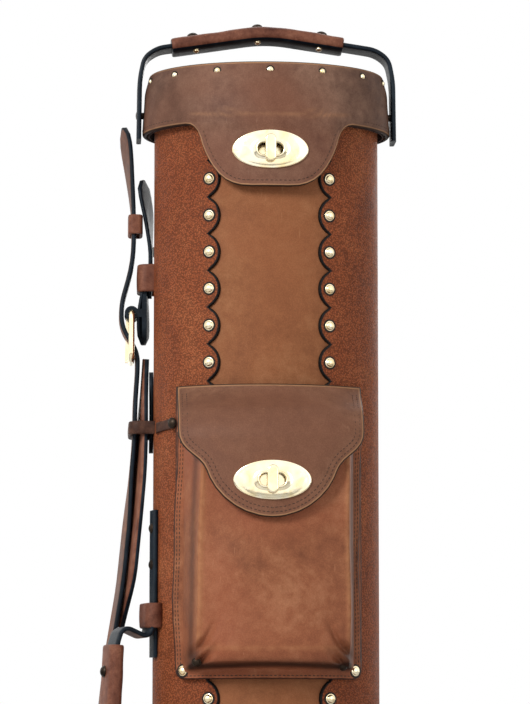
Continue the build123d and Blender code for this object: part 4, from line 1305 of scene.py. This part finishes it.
def grip_height(x):
    """Height of the grip's middle line."""
    bend = ARCH_R * arch_slope
    if abs(x) > bend:
        return ARCH_TOP - arch_slope * abs(x)
    return ARCH_TOP - arch_slope * bend + (bend**2 - x * x) / (2 * ARCH_R)


screw_spots = [
    ((x, 0, grip_height(x) + SLEEVE_T / 2 - 0.3), (-math.copysign(arch_slope, -x) if x else 0, 0, 1))
    for x in (-40.0 + SHIFT, SHIFT, 40.0 + SHIFT)
]
lathe(
    "top_handle_screw_heads", rivet_profile(4.6, 3.4), screw_spots, AGED, "top_handle", "brass_rivet",
    "top_handle_screws",
)
stud_spots = [
    ((x, -6.5, grip_height(x) - SLEEVE_T / 2 + 0.2), (0, -0.6, -1))
    for x in (-38.0 + SHIFT, SHIFT, 38.0 + SHIFT)
]
lathe("top_handle_studs", rivet_profile(1.9, 1.3), stud_spots, RIVET, "top_handle", "brass_rivet")

# ---------------------------------------------------------------- side handle
side_x = -BODY_A * math.sqrt(1 - (HANDLE_Y / BODY_B) ** 2)
outward = normal_at(side_x, HANDLE_Y, 0)
SIDE = ((side_x, HANDLE_Y, 0), outward, (0, 0, 1), outward.cross(Vector((0, 0, 1))))
BOW, BOW_END, BOW_R = 29.0, 26.3, 120.0
GRIP_TOP = HANDLE_Z + SLEEVE_HALF + 2
side_half = [(4.2, 535), (4.2, 514.5), (22.5, 522.5), (BOW_END, GRIP_TOP)]
side_run = side_half + [(BOW, HANDLE_Z)] + [(d, 2 * HANDLE_Z - z) for d, z in reversed(side_half)]
hinge_line = (
    (side_x + outward.x * 5, HANDLE_Y + outward.y * 5, HANDLE_Z),
    (side_x + outward.x * 20, HANDLE_Y + outward.y * 20, HANDLE_Z),
)
piece = ribbon(
    "side_handle_strap_leather", SIDE, side_run, [4.5, 5, 30, BOW_R, 30, 5, 4.5], STRAP_T, STRAP_W, STRAP,
    extra=STRAP_TOP, outside=-1,
)
fold(piece, ("case", "side_handle"), "dark_leather", *hinge_line, "side_handle_strap")
grip_piece(
    "side_handle_grip",
    SIDE,
    [(BOW_END, 2 * HANDLE_Z - GRIP_TOP), (BOW, HANDLE_Z), (BOW_END, GRIP_TOP)],
    BOW_R,
    "side_handle",
    "side_handle_sleeve",
)

# ---------------------------------------------------------------- shoulder strap
STRAP_PLANE = ((0, STRAP_Y, 0), (1, 0, 0), (0, 0, 1), (0, 1, 0))
run = [
    (-87.6, 833), (-84.6, 809), (-81.2, 777), (-81.6, 748), (-88.8, 722), (-88.8, 708), (-78.8, 691),
    (-78.8, 680), (-80.2, 660), (-80.4, 638), (-84.4, 590), (-88.6, 548), (-95.2, 508), (-104, 445),
    (-112, 355), (-115, 255), (-111, 160), (-104, 96), (-98, 49), (-73.6, 49), (-73.6, 118),
]


def strap_tip(s, total):
    """Half width of the strap, which narrows to a rounded tip at its free end."""
    return STRAP_W / 2 * math.sqrt(max(0.02, 1 - max(0.0, 1 - s / 16) ** 2))


def strap_twist(s, total):
    """The strap turns its brown face a little to the front, most at its free end and beside the pad."""
    return -math.radians(
        17.0 * (1 - smooth_step(s / 62))
        + 9.0 * smooth_step((s - 215) / 40) * (1 - smooth_step((s - 330) / 60))
    )


mid = ((-112 - 115) / 2, (355 + 255) / 2)
upper_run = run[:15] + [mid]
lower_run = [mid] + run[15:]
piece = ribbon(
    "shoulder_strap_upper", STRAP_PLANE, upper_run, bend_radii(upper_run, 300), STRAP_T, STRAP_W, STRAP,
    half_width=strap_tip, extra=STRAP_TOP, outside=-1, twist=strap_twist,
)
fold(
    piece, ("case", "shoulder_strap"), "dark_leather", (-80, STRAP_Y, 690), (-90, STRAP_Y, 520),
    "shoulder_strap",
)
piece = ribbon(
    "shoulder_strap_lower", STRAP_PLANE, lower_run, bend_radii(lower_run, 300), STRAP_T, STRAP_W, STRAP,
    extra=STRAP_TOP, outside=-1,
)
fold(piece, ("case", "shoulder_strap"), "dark_leather", (-74, STRAP_Y, 49), (-98, STRAP_Y, 49))

pad_run = [(-73.6, 688), (-75.9, 640), (-80.2, 590), (-84.2, 548), (-88.4, 523)]


def pad_width(s, total):
    """Half width of the pad: pointed at both ends."""
    reach = min(s, total - s)
    return 3.0 + 16.0 * smooth_step(min(1.0, (reach + 4) / 42.0)) if reach > 0 else 3.0


def pad_twist(s, total):
    """The pad turns its face a little to the front, more towards its lower end."""
    return -math.radians(3.0 + 8.0 * smooth_step((s - 20) / 60))


piece = ribbon(
    "shoulder_pad_leather", STRAP_PLANE, pad_run, bend_radii(pad_run, 300), 4.0, 38.0, STRAP,
    half_width=pad_width, extra=GRIP, outside=-1, twist=pad_twist,
)
fold(
    piece, ("case", "shoulder_strap"), "handle_leather", (-80, STRAP_Y, 690), (-90, STRAP_Y, 520),
    "shoulder_pad",
)

# ---------------------------------------------------------------- loops and tabs
def loop_piece(name, frame_of, low, high, reach, half, seat, slot_nodes, material, thickness=2.4):
    """A leather loop: a band bent round three sides of a rectangle and set against the case."""
    origin, out, across = frame_of
    corners = [(seat, -half), (reach, -half), (reach, half), (seat, half)]
    line = path_points(corners, [min(5.0, half * 0.6)] * 2)
    levels = spread(low, high, 8)
    vertices, edge = [], []
    cols = len(line)
    for side in (1, -1):
        for v in levels:
            d = min(v - low, high - v)
            near = min(d, 1.0)
            drop = 1.0 - math.sqrt(1 - (1 - near) ** 2)
            for i, q in enumerate(line):
                a0, b0 = line[max(0, i - 1)], line[min(cols - 1, i + 1)]
                way = (b0 - a0).normalized()
                normal = Vector((way.y, -way.x))
                puff = 0.35 * math.sin(math.pi * (v - low) / (high - low))
                h = (thickness / 2 - drop + puff) if side > 0 else -thickness / 2 + drop
                spot = q + normal * h
                vertices.append(origin + out * spot.x + across * spot.y + Vector((0, 0, v)))
                edge.append(d)
    faces = skin_faces(len(levels), cols)
    piece = fix_normals(finish_mesh(name, vertices, faces, material, edge=edge))
    return put(piece, "case", "trim_leather", *slot_nodes)


def side_frame(y):
    """The origin, outward and across directions at a place on the left side."""
    x = -BODY_A * math.sqrt(1 - (y / BODY_B) ** 2)
    out = normal_at(x, y, 0)
    return Vector((x, y, 0)), out, out.cross(Vector((0, 0, 1)))


SIDE_HANDLE = side_frame(HANDLE_Y)
SIDE_STRAP = (Vector((-66.3, STRAP_Y, 0)), Vector((-1, 0, 0)), Vector((0, 1, 0)))
loop_piece("upper_tab_loop", SIDE_STRAP, 729, 746, 11.6, 11.6, -1.0, ["tab_loops"], GRIP)
loop_piece("lower_tab_loop", SIDE_STRAP, 96, 113, 11.6, 11.6, -1.0, [], GRIP)
loop_piece(
    "upper_handle_loop", SIDE_HANDLE, 521.5, 536.5, 7.2, 9.6, -1.0, ["side_handle_loops"], GRIP,
    thickness=2.0,
)
loop_piece("lower_handle_loop", SIDE_HANDLE, 377.5, 392.5, 7.2, 9.6, -1.0, [], GRIP, thickness=2.0)
loop_piece("middle_thong", SIDE_STRAP, 640.0, 648.0, 16.6, 20.6, -1.5, ["middle_loop"], THONG)


def thong_tail():
    """The thong's tail, flat on the wrap and tucked beside the pocket."""
    us, vs = row_grid(spread(640.6, 646.8, 8), lambda z: -67.6, lambda z: -56.8, 12)
    place = lambda u, v, h: front(u, v + 0.16 * (u + 62), h)
    piece = hide(
        "middle_thong_tail", us, vs, place, 2.0, THONG, round_mm=0.9,
        relief=lambda u, v, d: 0.5 * math.sin(u / 1.9),
    )
    put(fix_normals(piece), "case", "trim_leather")


thong_tail()
for number, (low_z, high_z) in enumerate(((504, 593), (321, 410))):
    points = [(1.1, low_z), (1.25, (low_z + high_z) / 2), (1.1, high_z)]
    piece = ribbon(f"side_handle_tab_{number}", SIDE, points, [400], 2.4, 11.0, STRAP, outside=-1)
    put(piece, "case", "dark_leather", *(["side_handle_tabs"] if number == 0 else []))


def keeper_piece():
    """The keeper: a closed band round the strap."""
    w, h, t = 4.6, 12.2, 2.0
    low, high, middle_x = 765.0, 777.0, -80.4
    levels = spread(low, high, 8)
    sides = 48
    vertices, edge = [], []
    for side in (1, -1):
        for v in levels:
            d = min(v - low, high - v)
            drop = 0.8 - math.sqrt(max(0.0, 0.64 - (0.8 - min(d, 0.8)) ** 2))
            for k in range(sides):
                turn = math.tau * k / sides
                c, q = math.cos(turn), math.sin(turn)
                c, q = math.copysign(abs(c) ** 0.5, c), math.copysign(abs(q) ** 0.35, q)
                inset = drop if side > 0 else t
                vertices.append((middle_x - c * (w - inset), STRAP_Y + q * (h - inset), v))
                edge.append(d)
    faces = skin_faces(len(levels), sides, closed=True)
    put(
        fix_normals(finish_mesh("keeper_band", vertices, faces, GRIP, edge=edge)), "case", "trim_leather",
        "strap_keeper",
    )


keeper_piece()


def tab_end(width, reach):
    """Half width of a tab with two rounded ends."""
    def half(s, total):
        r = min(s, total - s)
        return width / 2 * (1.0 if r > reach else math.sqrt(max(0.03, 1 - (1 - r / reach) ** 2)))
    return half


def tab_piece(name, points, width, turned, nodes, thickness=2.6, ends=8.0):
    """A flat tab beside the strap; turned gives its twist in degrees by its share of the length."""
    twist = (lambda s, total: -math.radians(turned(s / total))) if turned else None
    piece = ribbon(
        name, STRAP_PLANE, points, bend_radii(points, 120), thickness, width, STRAP,
        half_width=tab_end(width, ends), outside=-1, twist=twist,
    )
    return put(piece, "case", "dark_leather", *nodes)


tab_piece(
    "upper_strap_tab", [(-71.4, 726), (-70.6, 752), (-72.4, 778), (-76.2, 800)], 16.5,
    lambda t: 3 + 21 * smooth_step((t - 0.35) / 0.5), ["strap_tabs"],
)
tab_piece(
    "buckle_tail", [(-75.2, 697), (-75.4, 716), (-73.6, 744)], 18.0,
    lambda t: 22 - 16 * smooth_step((t - 0.3) / 0.6), [], thickness=2.4, ends=9.0,
)
tab_piece("middle_strap_tab", [(-70.2, 630), (-70.0, 655), (-70.2, 680)], 18.0, None, [])
tab_piece("lower_strap_tab", [(-70.2, 86), (-70.0, 118), (-70.2, 150)], 18.0, None, [])

# ---------------------------------------------------------------- kept CAD nodes get their materials
KEPT = {
    "inner_shell": SHELL, "tube_floor": SHELL, "tube_collar": CLOTH, "butt_tubes": FLOCK, "shaft_tubes": FLOCK,
    "back_padding": STRAP, "base_sole": RUBBER, "base_disc": WOOD, "cap_lining": CLOTH, "cap_disc": WOOD,
    "cap_turn_base": BRASS, "cap_turn_button": BRASS, "upper_turn_base": BRASS, "upper_turn_button": BRASS,
    "lower_turn_base": BRASS, "lower_turn_button": BRASS, "handle_pivots": AGED,
    "side_handle_screws": AGED,
    "buckle_chape": STRAP, "buckle_frame": BRASS,
    "buckle_prong": BRASS, "strap_rivets": RIVET, "leather_rivets": AGED,
}
for node, material in KEPT.items():
    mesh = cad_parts[node].data
    mesh.materials.clear()
    mesh.materials.append(material)


# ---------------------------------------------------------------- floor, light, camera
def stage_plane(name, size, place, turn, colour):
    """A plain painted plane that isn't part of the object."""
    half = size / 2
    mesh = bpy.data.meshes.new(name)
    mesh.from_pydata(
        [(-half, -half, 0), (half, -half, 0), (half, half, 0), (-half, half, 0)], [], [(0, 1, 2, 3)],
    )
    made = bpy.data.objects.new(name, mesh)
    made.location, made.rotation_euler = place, turn
    bpy.context.scene.collection.objects.link(made)
    material, tree, shader, node, ramp = start_material(name + "_paint")
    shader.inputs["Base Color"].default_value = colour
    shader.inputs["Roughness"].default_value = 0.9
    mesh.materials.append(material)
    return made


stage_plane("studio_floor", 12.0, (0, 0, 0), (0, 0, 0), (0.82, 0.82, 0.82, 1))

world = bpy.data.worlds.new("studio")
bpy.context.scene.world = world
world.use_nodes = True
nodes, links = world.node_tree.nodes, world.node_tree.links
backdrop = nodes["Background"]
backdrop.inputs["Color"].default_value = (1, 1, 1, 1)
fill = nodes.new("ShaderNodeBackground")
fill.inputs["Color"].default_value = (1.0, 0.99, 0.98, 1)
fill.inputs["Strength"].default_value = 0.36
rays = nodes.new("ShaderNodeLightPath")
choose = nodes.new("ShaderNodeMixShader")
shine = nodes.new("ShaderNodeBackground")
shine.inputs["Color"].default_value = (1.0, 0.99, 0.97, 1)
shine.inputs["Strength"].default_value = 1.25
gloss = nodes.new("ShaderNodeMixShader")
links.new(rays.outputs["Is Glossy Ray"], gloss.inputs[0])
links.new(fill.outputs[0], gloss.inputs[1])
links.new(shine.outputs[0], gloss.inputs[2])
links.new(rays.outputs["Is Camera Ray"], choose.inputs[0])
links.new(gloss.outputs[0], choose.inputs[1])
links.new(backdrop.outputs[0], choose.inputs[2])
links.new(choose.outputs[0], nodes["World Output"].inputs["Surface"])


def area_light(name, place, target, size, power):
    """A soft rectangular light aimed at a target."""
    data = bpy.data.lights.new(name, "AREA")
    data.shape, data.size, data.size_y, data.energy = "RECTANGLE", size[0], size[1], power
    made = bpy.data.objects.new(name, data)
    made.location = place
    made.rotation_euler = (Vector(target) - Vector(place)).to_track_quat("-Z", "Y").to_euler()
    bpy.context.scene.collection.objects.link(made)


area_light("key", (-1.3, -1.7, 1.75), (0, 0, 0.62), (0.6, 0.8), 36)
area_light("fill_light", (1.6, -1.7, 1.0), (0, 0, 0.6), (1.0, 1.6), 5.5)
area_light("back_light", (0.6, 1.9, 1.6), (0, 0, 0.5), (1.4, 1.4), 16)

camera_data = bpy.data.cameras.new("camera")
camera = bpy.data.objects.new("camera", camera_data)
bpy.context.scene.collection.objects.link(camera)
camera.location = (-0.105, -2.165, 0.43)
target = Vector((-0.0006, 0.0, 0.6915))
camera.rotation_euler = (target - camera.location).to_track_quat("-Z", "Y").to_euler()
camera_data.lens = 181.7
camera_data.clip_end = 50
bpy.context.scene.camera = camera
bpy.context.scene.view_settings.view_transform = "Standard"
